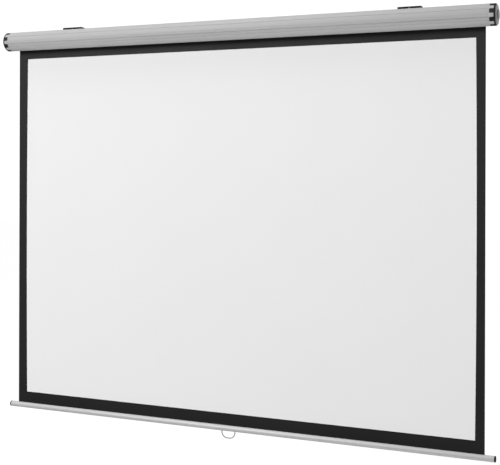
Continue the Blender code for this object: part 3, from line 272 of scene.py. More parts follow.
def weave_group():
    """Plain weave over the sheet's own map, whose unit is a metre."""
    group, given, out = new_group("Plain Weave", [("Threads", 2400.0)], ["Height", "Mask"])
    place = group.nodes.new("ShaderNodeUVMap")
    place.uv_map = "cloth"
    split = group.nodes.new("ShaderNodeSeparateXYZ")
    fill(split, {"Vector": place.outputs["UV"]})
    waves = [maths(group, "SINE", maths(group, "MULTIPLY", split.outputs[axis], given.outputs["Threads"]))
             for axis in ("X", "Y")]
    crossing = maths(group, "MULTIPLY", *waves)
    texture = group.nodes.new("ShaderNodeTexNoise")
    fill(texture, {"Vector": place.outputs["UV"], "Scale": 3.0, "Detail": 5.0})
    fill(out, {"Height": map_range(group, crossing, -1.0, 1.0),
               "Mask": map_range(group, texture.outputs["Fac"], 0.3, 0.7)})
    return group


def shared(name):
    """The node group of that name, made when it is first asked for."""
    makers = {
        "Surface Grain": grain_group,
        "Drawn Lines": drawn_group,
        "Edge Wear": wear_group,
        "Settled Dust": dust_group,
        "Handled Underside": painted_shade_below_group,
        "Plain Weave": weave_group,
    }
    return bpy.data.node_groups.get(name) or makers[name]()


def use_group(tree, name, **values):
    """A group node with its own values."""
    node = tree.nodes.new("ShaderNodeGroup")
    node.node_tree = shared(name)
    fill(node, {label.capitalize(): value for label, value in values.items()})
    return node


def shade(colour, factor):
    """A colour made lighter or darker."""
    return tuple(min(1.0, channel * factor) for channel in colour) + (1.0,)


def blend_colour(tree, mask, first, second):
    """A Mix node between two colours or sockets."""
    node = tree.nodes.new("ShaderNodeMix")
    node.data_type = "RGBA"
    fill(node, {0: mask, 6: first, 7: second})
    return node.outputs[2]


DUST_COLOUR = (0.42, 0.41, 0.39, 1.0)
# The dark grey of the painted shade on faces that look down
UNDERSIDE_SHADE_COLOUR = (0.06, 0.06, 0.06, 1.0)


def finish(name, colour, roughness, metallic=0.0, specular=0.5, pattern="Surface Grain", scale=900.0,
           bump=0.15, depth=0.05, spread=0.06, wear=0.0, worn=(0.5, 0.5, 0.5), dust=0.0, underside_shade=0.0):
    """A finish whose pattern shows in its colour, roughness and bump, with rubbed edges, dust and painted
    shade on faces that look down.
    """
    made = bpy.data.materials.get(name)
    if made:
        return made
    made = bpy.data.materials.new(name)
    made.use_nodes = True
    tree = made.node_tree
    setting = "threads" if pattern == "Plain Weave" else "scale"
    base = use_group(tree, pattern, **{setting: scale})
    mask = base.outputs["Mask"]
    tint = blend_colour(tree, mask, shade(colour, 1.0 - spread), shade(colour, 1.0 + spread))
    rough = map_range(tree, mask, 0.0, 1.0, roughness - depth, roughness + depth)
    if wear:
        rubbed = use_group(tree, "Edge Wear", amount=wear).outputs["Mask"]
        tint = blend_colour(tree, rubbed, tint, (*worn, 1.0))
        rough = maths(tree, "SUBTRACT", rough, maths(tree, "MULTIPLY", rubbed, 0.12))
    if dust:
        dust_and_shade_veil = use_group(tree, "Settled Dust", amount=dust).outputs["Mask"]
        tint = blend_colour(tree, dust_and_shade_veil, tint, DUST_COLOUR)
        rough = maths(tree, "ADD", rough, maths(tree, "MULTIPLY", dust_and_shade_veil, 0.3), clamp=True)
    # Painted shade: faces that look down are darkened towards a dark grey, standing in for the light they
    # lack
    if underside_shade:
        dust_and_shade_veil = use_group(tree, "Handled Underside", amount=underside_shade).outputs["Mask"]
        tint = blend_colour(tree, dust_and_shade_veil, tint, UNDERSIDE_SHADE_COLOUR)
    relief = tree.nodes.new("ShaderNodeBump")
    fill(relief, {"Strength": bump, "Distance": 0.1 * MM, "Height": base.outputs["Height"]})
    fill(tree.nodes["Principled BSDF"], {
        "Base Color": tint, "Metallic": metallic, "Specular IOR Level": specular, "Roughness": rough,
        "Normal": relief.outputs["Normal"]})
    return made


def anodised(name="anodised_aluminium", tone=1.0):
    """Satin aluminium of the housing."""
    return finish(name, shade(colours().aluminium, tone)[:3], roughness=0.6, metallic=0.05, specular=0.3,
                  pattern="Drawn Lines", scale=520.0, bump=0.12, spread=0.03, dust=0.03)


def anodised_bar():
    """Brighter aluminium of the weight bar, with painted shade on its underside."""
    return finish("anodised_bar", shade(colours().aluminium, 1.387)[:3], roughness=0.48, metallic=0.1,
                  specular=0.2, pattern="Drawn Lines", scale=700.0, bump=0.1, depth=0.04, spread=0.03,
                  underside_shade=0.38)


def silver_plastic():
    """Satin silver plastic of the trim rings."""
    return finish("satin_silver_trim", colours().silver, roughness=0.58, metallic=0.05, specular=0.25,
                  scale=1400.0, bump=0.08, spread=0.03)


def black_plastic():
    """Moulded black plastic of the caps."""
    return finish("moulded_black", colours().black, roughness=0.55, specular=0.2, scale=1600.0, bump=0.2,
                  spread=0.1, wear=0.2, worn=(0.05, 0.05, 0.05), dust=0.02)


def grey_plastic():
    """Moulded grey plastic of the covers."""
    return finish("moulded_grey", colours().grey, roughness=0.6, specular=0.3, scale=1500.0, bump=0.2,
                  spread=0.04, wear=0.15, worn=(0.32, 0.32, 0.32))


def powder_coat():
    """Black powder coat of the brackets."""
    return finish("black_powder_coat", (0.005, 0.005, 0.005), roughness=0.55, specular=0.08, scale=1100.0,
                  bump=0.3, spread=0.12, wear=0.1, worn=(0.1, 0.1, 0.1), dust=0.01)


def zinc():
    """Bright zinc of the screws, pins and stamped pieces."""
    return finish("zinc_plated_steel", (0.62, 0.62, 0.63), roughness=0.3, metallic=1.0, pattern="Drawn Lines",
                  bump=0.1, depth=0.08)


def dull_wire():
    """Dull zinc of the bail's wire and the brackets' nuts."""
    return finish("dull_zinc_wire", (0.26, 0.26, 0.265), roughness=0.55, metallic=0.3, specular=0.2,
                  pattern="Drawn Lines", bump=0.1, depth=0.06)


def spring_steel():
    """Oiled steel of the spring, its clip and the roller."""
    return finish("oiled_steel", (0.30, 0.30, 0.31), roughness=0.38, metallic=1.0, pattern="Drawn Lines",
                  scale=700.0, depth=0.08, spread=0.1)


def nylon():
    """Plain nylon of the bushes and plugs."""
    return finish("natural_nylon", (0.70, 0.69, 0.65), roughness=0.48, scale=1200.0, bump=0.12, spread=0.04)


def white_cloth():
    """Matt white projection surface, and the fabric's back."""
    return finish("matt_white_fabric", colours().white_fabric, roughness=0.86, specular=0.2,
                  pattern="Plain Weave", scale=5200.0, bump=0.25, depth=0.04, spread=0.006)


def black_cloth():
    """Black printed frame, a little glossier than the white."""
    return finish("black_masking", colours().black_fabric, roughness=0.55, specular=0.26,
                  pattern="Plain Weave", scale=5200.0, bump=0.3, depth=0.06, spread=0.08)


# Modelling helpers

def start(name):
    """Name the primitive just added, free it from its turn and open it for editing."""
    obj = bpy.context.active_object
    obj.name = name
    obj.data.name = name
    bpy.ops.object.transform_apply(location=False, rotation=True, scale=True)
    bpy.ops.object.mode_set(mode="EDIT")
    bpy.ops.mesh.select_mode(type="FACE")
    return obj


def deselect():
    """Leave edit mode and deselect everything."""
    if bpy.context.object and bpy.context.object.mode != "OBJECT":
        bpy.ops.object.mode_set(mode="OBJECT")
    bpy.ops.object.select_all(action="DESELECT")


def choose(*objects):
    """Select only these, the last of them active."""
    deselect()
    for obj in objects:
        obj.select_set(True)
    bpy.context.view_layer.objects.active = objects[-1]


def add_circle(name, radius, x, centre, steps, filled=False):
    """A circle that faces along X, open for editing."""
    deselect()
    bpy.ops.mesh.primitive_circle_add(
        vertices=steps, radius=radius, fill_type="NGON" if filled else "NOTHING", location=(x, *centre),
        rotation=(0.0, math.pi / 2, 0.0))
    obj = start(name)
    bpy.ops.mesh.select_mode(type="FACE" if filled else "EDGE")
    bpy.ops.mesh.select_all(action="SELECT")
    return obj


def straight_edge(name, length, middle):
    """One edge along X, selected and open for editing: the near side of a plane."""
    deselect()
    bpy.ops.mesh.primitive_plane_add(size=length, location=(middle[0], middle[1] + length / 2, middle[2]))
    obj = start(name)
    bpy.ops.mesh.select_all(action="SELECT")
    bpy.ops.mesh.delete(type="ONLY_FACE")
    pick(obj, "edges", lambda p: p.y > middle[1] + 1e-5)
    bpy.ops.mesh.delete(type="EDGE")
    bpy.ops.mesh.select_all(action="SELECT")
    return obj


def turn_about_x(obj, degrees):
    """Turn an object about the line along X through its origin, and apply the turn."""
    bpy.ops.object.mode_set(mode="OBJECT")
    obj.rotation_euler.x = math.radians(degrees)
    bpy.ops.object.transform_apply(location=False, rotation=True, scale=False)
    bpy.ops.object.mode_set(mode="EDIT")


def push(vector):
    """Extrude what is selected."""
    bpy.ops.mesh.extrude_region_move(TRANSFORM_OT_translate={"value": vector})


def narrow(share, centre):
    """Scale what is selected towards an axis along X."""
    bpy.ops.transform.resize(value=(1.0, share, share), center_override=(0.0, *centre))


def round_over(steps, radius, centre):
    """Extrude along X in steps of rise and shrink, in millimetres, from a face of the given radius."""
    for rise, shrink in steps:
        push((rise * MM, 0.0, 0.0))
        narrow(1.0 - shrink * MM / radius, centre)
        radius -= shrink * MM


def pick(obj, kind, test):
    """Select the faces, edges or vertices whose middle, in the frame, passes a test."""
    modes = {"faces": "FACE", "edges": "EDGE", "verts": "VERT"}
    bpy.ops.mesh.select_mode(type=modes[kind])
    bpy.ops.mesh.select_all(action="DESELECT")
    work = bmesh.from_edit_mesh(obj.data)
    place = obj.matrix_world
    for item in getattr(work, kind):
        if kind == "verts":
            middle = place @ item.co
        elif kind == "edges":
            middle = place @ ((item.verts[0].co + item.verts[1].co) / 2)
        else:
            middle = place @ item.calc_center_median()
        if test(middle):
            item.select_set(True)
    work.select_flush_mode()
    bmesh.update_edit_mesh(obj.data)


def angle_about(point, centre):
    """Degrees from the rear towards the top, about an axis along X."""
    return math.degrees(math.atan2(point.z - centre[1], point.y - centre[0])) % 360.0


def apart(first, second):
    """Smallest difference of two angles, in degrees."""
    return abs((first - second + 180.0) % 360.0 - 180.0)


def inward(shell, centre):
    """The Solidify offset that sends a round shell's wall towards its axis."""
    bpy.ops.object.mode_set(mode="OBJECT")
    face = shell.data.polygons[0]
    middle = shell.matrix_world @ face.center
    outward = Vector((0.0, middle.y - centre[0], middle.z - centre[1]))
    return -1.0 if face.normal.dot(outward) > 0 else 1.0


def modify(obj, kind, **settings):
    """Add a modifier and apply it."""
    if obj.mode != "OBJECT":
        bpy.ops.object.mode_set(mode="OBJECT")
    bpy.context.view_layer.objects.active = obj
    step = obj.modifiers.new(kind.title(), kind)
    for key, value in settings.items():
        setattr(step, key, value)
    bpy.ops.object.modifier_apply(modifier=step.name)


def thicken(obj, thickness, offset=-1.0):
    """Give a shell its wall."""
    modify(obj, "SOLIDIFY", thickness=thickness, offset=offset, use_even_offset=True, use_rim=True)


def round_edges(obj, width, segments=2, degrees=40.0):
    """Round the sharp edges, and merge the doubled points that this leaves where edges meet."""
    modify(obj, "BEVEL", width=width, segments=segments, limit_method="ANGLE",
           angle_limit=math.radians(degrees), use_clamp_overlap=True, harden_normals=False)
    modify(obj, "WELD", merge_threshold=DOUBLED)


def block(location, size):
    """A plain block."""
    deselect()
    bpy.ops.mesh.primitive_cube_add(size=1.0, location=location, scale=size)
    return bpy.context.active_object


def pillar(location, radius, steps=32, depth=12 * MM, rotation=(0.0, 0.0, 0.0)):
    """A plain upright cylinder or prism."""
    deselect()
    bpy.ops.mesh.primitive_cylinder_add(vertices=steps, radius=radius, depth=depth, location=location,
                                        rotation=rotation)
    return bpy.context.active_object


def carve(obj, cutter):
    """Cut one piece with another, which goes away."""
    modify(obj, "BOOLEAN", operation="DIFFERENCE", solver="EXACT", object=cutter)
    bpy.data.objects.remove(cutter)


def mend_normals(obj):
    """Merge doubles and point every face outwards."""
    bpy.context.view_layer.objects.active = obj
    bpy.ops.object.mode_set(mode="EDIT")
    bpy.ops.mesh.select_all(action="SELECT")
    bpy.ops.mesh.remove_doubles(threshold=DOUBLED)
    bpy.ops.mesh.normals_make_consistent(inside=False)
    bpy.ops.object.mode_set(mode="OBJECT")


def settle(obj, body, slot, material, replaced=(), degrees=35.0):
    """Finish a piece: place in the mesh, smooth shading, material, body, slot and what it stands for."""
    choose(obj)
    bpy.ops.object.transform_apply(location=True, rotation=True, scale=True)
    bpy.ops.object.shade_smooth_by_angle(angle=math.radians(degrees))
    if material is not None:
        obj.data.materials.clear()
        obj.data.materials.append(material)
    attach(obj, body)
    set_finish(obj, slot)
    if replaced:
        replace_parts(obj, *replaced)


def mirrored(obj, name, body, slot, material, replaced):
    """The left-hand twin of a right-hand piece."""
    twin = obj.copy()
    twin.data = obj.data.copy()
    twin.name = name
    twin.data.name = name
    bpy.context.scene.collection.objects.link(twin)
    twin.parent = None
    twin.matrix_world = Matrix.Diagonal((-1.0, 1.0, 1.0, 1.0))
    choose(twin)
    bpy.ops.object.transform_apply(location=True, rotation=True, scale=True)
    mend_normals(twin)
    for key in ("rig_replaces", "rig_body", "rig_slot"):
        twin.pop(key, None)
    settle(twin, body, slot, material, replaced)


class SCREEN_OT_housing(bpy.types.Operator):
    """Build the round housing with its grooves and the slot for the fabric"""
    bl_idname = "screen.housing"
    bl_label = "Housing"

    # Each groove's middle and half-width in degrees, and its depth in millimetres
    grooves = ((124, 2, 0.7), (156, 3, 1.1), (187, 2, 0.5), (201, 3, 1.3), (218, 2, 0.8))
    dusty = (201, 218)              # middles of the grooves whose floors get painted shade
    slot = (298, 322)               # where the fabric comes out, in degrees

    def execute(self, context):
        shell = add_circle("housing_shell", HOUSING_RADIUS, HOUSING_LOW.x, HOUSING_AXIS, 360)
        push((HOUSING_HIGH.x - HOUSING_LOW.x, 0.0, 0.0))
        lip = round(math.degrees(math.acos(LIP_BACK / HOUSING_RADIUS)))
        hook = round(360 - math.degrees(math.asin(HOOK_DROP / HOUSING_RADIUS)))
        for middle, reach, depth in (*self.grooves, (lip, 3, BRACKET_GROOVE), (hook, 3, BRACKET_GROOVE)):
            for offset in range(-reach, reach + 1):
                dip = depth * MM * math.cos(math.pi / 2 * offset / (reach + 1)) ** 0.5
                pick(shell, "verts", lambda p: apart(angle_about(p, HOUSING_AXIS), middle + offset) < 0.4)
                narrow(1.0 - dip / HOUSING_RADIUS, HOUSING_AXIS)
        pick(shell, "faces", lambda p: self.slot[0] < angle_about(p, HOUSING_AXIS) < self.slot[1])
        bpy.ops.mesh.delete(type="FACE")
        thicken(shell, sizes().housing_wall, inward(shell, HOUSING_AXIS))
        round_edges(shell, 0.5 * MM, 3, 50.0)
        settle(shell, "housing", "aluminium", anodised(), ["housing_tube"], 25.0)
        self.paint_groove_shade(shell)
        return {"FINISHED"}

    def paint_groove_shade(self, shell):
        """Paint shade on the floors of two grooves, with a darker copy of the aluminium."""
        # Painted shade: the housing's aluminium at 0.88 of its tone
        shell.data.materials.append(anodised("dusty_aluminium_groove", 0.88))
        reaches = [(middle, reach) for middle, reach, _ in self.grooves if middle in self.dusty]
        for face in shell.data.polygons:
            outward = Vector((0.0, face.center.y - AXIS_Y, face.center.z))
            angle = angle_about(face.center, HOUSING_AXIS)
            on_floor = any(apart(angle, middle) < reach for middle, reach in reaches)
            if on_floor and face.normal.dot(outward) > 0:
                face.material_index = 1


class SCREEN_OT_end_caps(bpy.types.Operator):
    """Build the end caps, their silver trim and the round covers, at both ends"""
    bl_idname = "screen.end_caps"
    bl_label = "End Caps"

    steps = 240
    fingers = 8
    finger_span = 24.0              # width of a finger, in degrees
    first_finger = 166.4            # middle of the first finger, in degrees
    finger_wall = 2.2 * MM
    recess_radius = 29.3 * MM       # the cover's seat in the flange
    recess_depth = 1.5 * MM
    sleeve_wall = 1.8 * MM
    sleeve_floor = 0.5 * MM         # behind the flange
    band = 2.7 * MM                 # the trim ring's closed part
    tooth_wall = 1.6 * MM
    cover_radius = 29.0 * MM
    cover_edge = 1.0 * MM           # height and width of the rim's rounding
    cover_groove = 3.4 * MM         # from the rim to the ring groove
    groove_side = 0.5 * MM
    dome_radius = 14.5 * MM
    dome_height = 4 * MM
    dome_side = 2.2 * MM            # below its rounding

    def execute(self, context):
        for piece, node, slot, material in (
                (self.cap(), "end_cap", "black_plastic", black_plastic()),
                (self.trim(), "trim_ring", "silver_plastic", silver_plastic()),
                (self.cover(), "cover_disc", "grey_plastic", grey_plastic())):
            settle(piece, "housing", slot, material, [f"{node}_right"])
            mirrored(piece, piece.name.replace("right", "left"), "housing", slot, material, [f"{node}_left"])
        return {"FINISHED"}

    def on_finger(self, point):
        """Whether a point of the rim lies on one of the fingers."""
        pitch = 360.0 / self.fingers
        place = (angle_about(point, HOUSING_AXIS) - self.first_finger + pitch / 2) % pitch
        return abs(place - pitch / 2) < self.finger_span / 2

    @staticmethod
    def distance(point):
        """Distance from the housing's axis."""
        return math.hypot(point.y - AXIS_Y, point.z)

    def on_rim(self, point, x):
        """Whether an edge's middle lies on the housing's full circle at x."""
        return abs(point.x - x) < 1e-5 and abs(self.distance(point) - HOUSING_RADIUS) < 0.1 * MM

    def align(self, obj):
        """Turn a rim so that the fingers' edges fall on its vertices, and select all of it."""
        turn_about_x(obj, (self.first_finger - self.finger_span / 2) % (360.0 / self.steps))
        bpy.ops.mesh.select_all(action="SELECT")

    def cap(self):
        """Black cap: a flange with eight fingers and a hollow sleeve."""
        flange = TRIM_HIGH.x + CLEAR
        finger_end = TRIM_LOW.x + self.band + CLEAR
        cap = add_circle("cap_right", HOUSING_RADIUS, CAP_HIGH.x, HOUSING_AXIS, self.steps, True)
        self.align(cap)
        bpy.ops.mesh.inset(thickness=HOUSING_RADIUS - self.recess_radius)
        push((-self.recess_depth, 0.0, 0.0))
        pick(cap, "edges", lambda p: self.on_rim(p, CAP_HIGH.x))
        push((flange - CAP_HIGH.x, 0.0, 0.0))
        bpy.ops.mesh.edge_face_add()
        bpy.ops.mesh.select_mode(type="FACE")
        bpy.ops.mesh.inset(thickness=self.finger_wall)
        inside = HOUSING_RADIUS - self.finger_wall
        pick(cap, "faces", lambda p: abs(p.x - flange) < 1e-5 and self.distance(p) > inside
             and self.on_finger(p))
        push((finger_end - flange, 0.0, 0.0))
        pick(cap, "faces", lambda p: abs(p.x - flange) < 1e-5 and self.distance(p) < 1 * MM)
        push((CAP_LOW.x - flange, 0.0, 0.0))
        bpy.ops.mesh.inset(thickness=self.sleeve_wall)
        push((flange - self.sleeve_floor - CAP_LOW.x, 0.0, 0.0))
        mend_normals(cap)
        round_edges(cap, 0.35 * MM)
        return cap

    def trim(self):
        """Silver ring with a tooth in each space between the fingers."""
        trim = add_circle("trim_right", HOUSING_RADIUS, TRIM_LOW.x, HOUSING_AXIS, self.steps)
        self.align(trim)
        push((self.band, 0.0, 0.0))
        top = TRIM_LOW.x + self.band
        pick(trim, "edges", lambda p: self.on_rim(p, top) and not self.on_finger(p))
        push((TRIM_HIGH.x - top, 0.0, 0.0))
        gap = math.degrees(CLEAR / HOUSING_RADIUS)
        pitch = 360.0 / self.fingers
        tooth = pitch - self.finger_span
        for side in (-1, 1):
            edge = self.first_finger + pitch / 2 + side * tooth / 2
            pick(trim, "verts", lambda p: p.x > TRIM_HIGH.x - 1e-5 and any(
                apart(angle_about(p, HOUSING_AXIS), edge + i * pitch) < 0.3 for i in range(self.fingers)))
            bpy.ops.transform.rotate(value=math.radians(side * gap), orient_axis="X",
                                     center_override=(0.0, AXIS_Y, 0.0))
        thicken(trim, self.tooth_wall, inward(trim, HOUSING_AXIS))
        round_edges(trim, 0.25 * MM)
        return trim

    def cover(self):
        """Grey disc with a shallow ring groove and a raised, rounded middle."""
        face = COVER_HIGH.x - self.dome_height
        cover = add_circle("cover_right", self.cover_radius, COVER_LOW.x, HOUSING_AXIS, 160, True)
        push((face - self.cover_edge - COVER_LOW.x, 0.0, 0.0))
        for rise, shrink in ((0.6, 0.25), (0.4, 0.75)):
            push((rise * MM, 0.0, 0.0))
            narrow(1.0 - shrink * MM / self.cover_radius, HOUSING_AXIS)
        flat = self.cover_radius - self.cover_edge
        bpy.ops.mesh.inset(thickness=self.cover_groove)
        for sink in (-self.groove_side, self.groove_side):
            bpy.ops.mesh.inset(thickness=self.groove_side)
            bpy.ops.transform.translate(value=(sink, 0.0, 0.0))
        bpy.ops.mesh.inset(thickness=flat - self.cover_groove - 2 * self.groove_side - self.dome_radius)
        push((self.dome_side, 0.0, 0.0))
        round_over(((0.9, 0.35), (0.55, 0.7), (0.35, 1.5)), self.dome_radius, HOUSING_AXIS)
        mend_normals(cover)
        return cover


class SCREEN_OT_fabric(bpy.types.Operator):
    """Hang the framed projection fabric and wind its last turns on the roller"""
    bl_idname = "screen.fabric"
    bl_label = "Fabric"

    # The turns left on the roller
    count = 2.75
    steps = 176
    pitch = 0.75 * MM
    thickness = 0.45 * MM
    core = 16.3 * MM                # inside radius of the innermost turn
    slack = 0.12 * MM               # keeps the spiral clear of the flat stretch at any turn
    mean_radius = 17 * MM

    def execute(self, context):
        self.sheet()
        self.turns()
        return {"FINISHED"}

    @staticmethod
    def half_width(z):
        """Half the white area's width at a height: the side strips bow a little."""
        share = min(max((-sizes().top_border - z) / sizes().image_height, 0.0), 1.0)
        return sizes().image_width / 2 + sizes().side_bow * 4 * share * (1 - share)

    def sheet(self):
        """The flat stretch: a white panel inside a black frame, plain white behind."""
        deselect()
        width = FABRIC_HIGH.x - FABRIC_LOW.x
        length = FABRIC_HIGH.z - FABRIC_LOW.z
        middle = (0.0, FABRIC_Y, FABRIC_HIGH.z - length / 2)
        bpy.ops.mesh.primitive_grid_add(x_subdivisions=3, y_subdivisions=50, size=1.0, location=middle,
                                        rotation=(math.pi / 2, 0.0, 0.0))
        obj = start("screen_fabric")
        bpy.ops.mesh.select_all(action="SELECT")
        bpy.ops.transform.resize(value=(width, 1.0, length), center_override=middle)
        bpy.ops.object.mode_set(mode="OBJECT")
        bpy.ops.object.transform_apply(location=True, rotation=True, scale=True)
        top = -sizes().top_border
        bottom = top - sizes().image_height
        levels = sorted({round(v.co.z, 6) for v in obj.data.vertices}, reverse=True)
        inner = len(levels) - 2
        within = [top - sizes().image_height * i / (inner - 1) for i in range(inner)]
        place = dict(zip(levels, [FABRIC_HIGH.z, *within, FABRIC_LOW.z]))
        for v in obj.data.vertices:
            level = place[round(v.co.z, 6)]
            if abs(v.co.x) < width * 0.4:
                v.co.x = math.copysign(self.half_width(level), v.co.x) + sizes().image_shift
            v.co.z = level
        cloth = obj.data.uv_layers.new(name="cloth")
        for loop in obj.data.loops:
            point = obj.data.vertices[loop.vertex_index].co
            cloth.data[loop.index].uv = (point.x, point.z)
        thicken(obj, FABRIC_HIGH.y - FABRIC_LOW.y, 0.0)
        obj.data.materials.clear()
        for material in (white_cloth(), black_cloth()):
            obj.data.materials.append(material)
        for face in obj.data.polygons:
            at = face.center
            across = abs(at.x - sizes().image_shift)
            framed = not (bottom < at.z < top and across < self.half_width(at.z) - 5 * MM)
            face.material_index = 1 if framed and face.normal.y < 0.5 else 0
        settle(obj, "housing", "white_fabric", None, ["projection_fabric"])
        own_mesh(obj)

    def turns(self):
        """The turns that stay on the roller, a spiral whose outer end meets the flat stretch."""
        deselect()
        half = (TURNS_HIGH.x - TURNS_LOW.x) / 2
        start_radius = self.core + self.thickness / 2 - self.slack + self.pitch * self.count
        obj = straight_edge("wound_fabric", 2 * half, (0.0, AXIS_Y + start_radius, 0.0))
        step = 2 * math.pi * self.count / self.steps
        radius = start_radius
        previous = Vector((0.0, radius, 0.0))
        for i in range(1, self.steps + 1):
            radius = start_radius - self.pitch * self.count * i / self.steps
            point = Vector((0.0, radius * math.cos(step * i), radius * math.sin(step * i)))
            push(tuple(point - previous))
            previous = point
        bpy.ops.object.mode_set(mode="OBJECT")
        cloth = obj.data.uv_layers.new(name="cloth")
        for loop in obj.data.loops:
            v = obj.data.vertices[loop.vertex_index]
            cloth.data[loop.index].uv = (v.co.x, (v.index // 2) * self.mean_radius * step)
        thicken(obj, self.thickness, 0.0)
        settle(obj, "roller", "white_fabric", black_cloth(), ["fabric_turns"], 60.0)


class SCREEN_OT_weight_bar(bpy.types.Operator):
    """Build the round weight bar, its end caps and the wire bail"""
    bl_idname = "screen.weight_bar"
    bl_label = "Weight Bar"

    legs = 22.5 * MM                # the wire's legs, from the middle
    corner = 19 * MM                # radius of the wire's two lower corners
    drop = 31 * MM                  # the wire's lowest point, below the bar's axis
    bend = 3.0 * MM                 # radius between a trunnion and its leg
    trunnion = 6 * MM               # length of each of the wire's ends
    pivot_drop = 3.6 * MM           # trunnions, below the bar's axis
    leg_play = 0.45 * MM            # in the windows, beside the wire
    window = 5.9 * MM               # half the windows' size across the bar
    fabric_slot = 0.3 * MM          # half its width
    plug_radius = 7.2 * MM
    rim = ((0.6, 0.2), (0.4, 0.45), (0.2, 0.7))     # the caps' rounding: rises and shrinks, in millimetres

    def execute(self, context):
        self.bar()
        self.caps()
        self.bail()
        return {"FINISHED"}

    def bar(self):
        """Bar with a slot on top for the fabric and two windows below for the bail's legs."""
        bar = add_circle("weight_bar_shell", BAR_RADIUS, BAR_LOW.x, BAR_AXIS, 120)
        push((BAR_HIGH.x - BAR_LOW.x, 0.0, 0.0))
        half = sizes().bail_wire + self.leg_play
        for x in (-self.legs - half, -self.legs + half, self.legs - half, self.legs + half):
            bpy.ops.mesh.select_mode(type="FACE")
            bpy.ops.mesh.select_all(action="SELECT")
            bpy.ops.mesh.bisect(plane_co=(x, FABRIC_Y, BAR_Z), plane_no=(1.0, 0.0, 0.0))
        pick(bar, "faces", lambda p: abs(abs(p.x) - self.legs) < half and p.z < BAR_Z
             and abs(p.y - FABRIC_Y) < self.window)
        bpy.ops.mesh.delete(type="FACE")
        pick(bar, "faces", lambda p: p.z > BAR_Z and abs(p.y - FABRIC_Y) < self.fabric_slot)
        bpy.ops.mesh.delete(type="FACE")
        thicken(bar, sizes().bar_wall, inward(bar, BAR_AXIS))
        round_edges(bar, 0.2 * MM, 2, 50.0)
        settle(bar, "bar", "aluminium", anodised_bar(), ["weight_bar"], 25.0)

    def caps(self):
        """Black cap with a rounded rim, and the plug that holds it in the bar."""
        near = BAR_HIGH.x + CLEAR
        rim_height = sum(rise for rise, _ in self.rim) * MM
        cap = add_circle("bar_end_right", BAR_RADIUS, near, BAR_AXIS, 96, True)
        push((BAR_CAP_HIGH.x - near - rim_height, 0.0, 0.0))
        round_over(self.rim, BAR_RADIUS, BAR_AXIS)
        pick(cap, "faces", lambda p: abs(p.x - near) < 1e-5)
        bpy.ops.mesh.inset(thickness=BAR_RADIUS - self.plug_radius)
        push((BAR_CAP_LOW.x - near, 0.0, 0.0))
        mend_normals(cap)
        settle(cap, "bar", "black_plastic", black_plastic(), ["bar_cap_right"], 30.0)
        mirrored(cap, "bar_end_left", "bar", "black_plastic", black_plastic(), ["bar_cap_left"])

    def bail(self):
        """One wire: trunnion, bend, two wide corners and back, swept from a round section."""
        inset = self.legs - self.bend
        pivot = BAR_Z - self.pivot_drop
        low = BAR_Z - self.drop + self.corner
        bail = add_circle("bail_wire", sizes().bail_wire, self.trunnion - inset, (FABRIC_Y, pivot), 16, True)
        push((-self.trunnion, 0.0, 0.0))
        self.sweep(8, -inset, pivot - self.bend)
        push((0.0, 0.0, low - pivot + self.bend))
        self.sweep(20, self.corner - self.legs, low)
        push((2 * (self.legs - self.corner), 0.0, 0.0))
        self.sweep(20, self.legs - self.corner, low)
        push((0.0, 0.0, pivot - self.bend - low))
        self.sweep(8, inset, pivot - self.bend)
        push((-self.trunnion, 0.0, 0.0))
        mend_normals(bail)
        round_edges(bail, 0.3 * MM, 2, 60.0)
        settle(bail, "bail", "zinc_steel", dull_wire(), ["pull_bail"], 40.0)

    @staticmethod
    def sweep(steps, x, z):
        """Carry the end face a quarter turn round a centre, from left over the bottom to right."""
        bpy.ops.mesh.spin(steps=steps, angle=math.pi / 2, center=(x, FABRIC_Y, z), axis=(0.0, 1.0, 0.0))


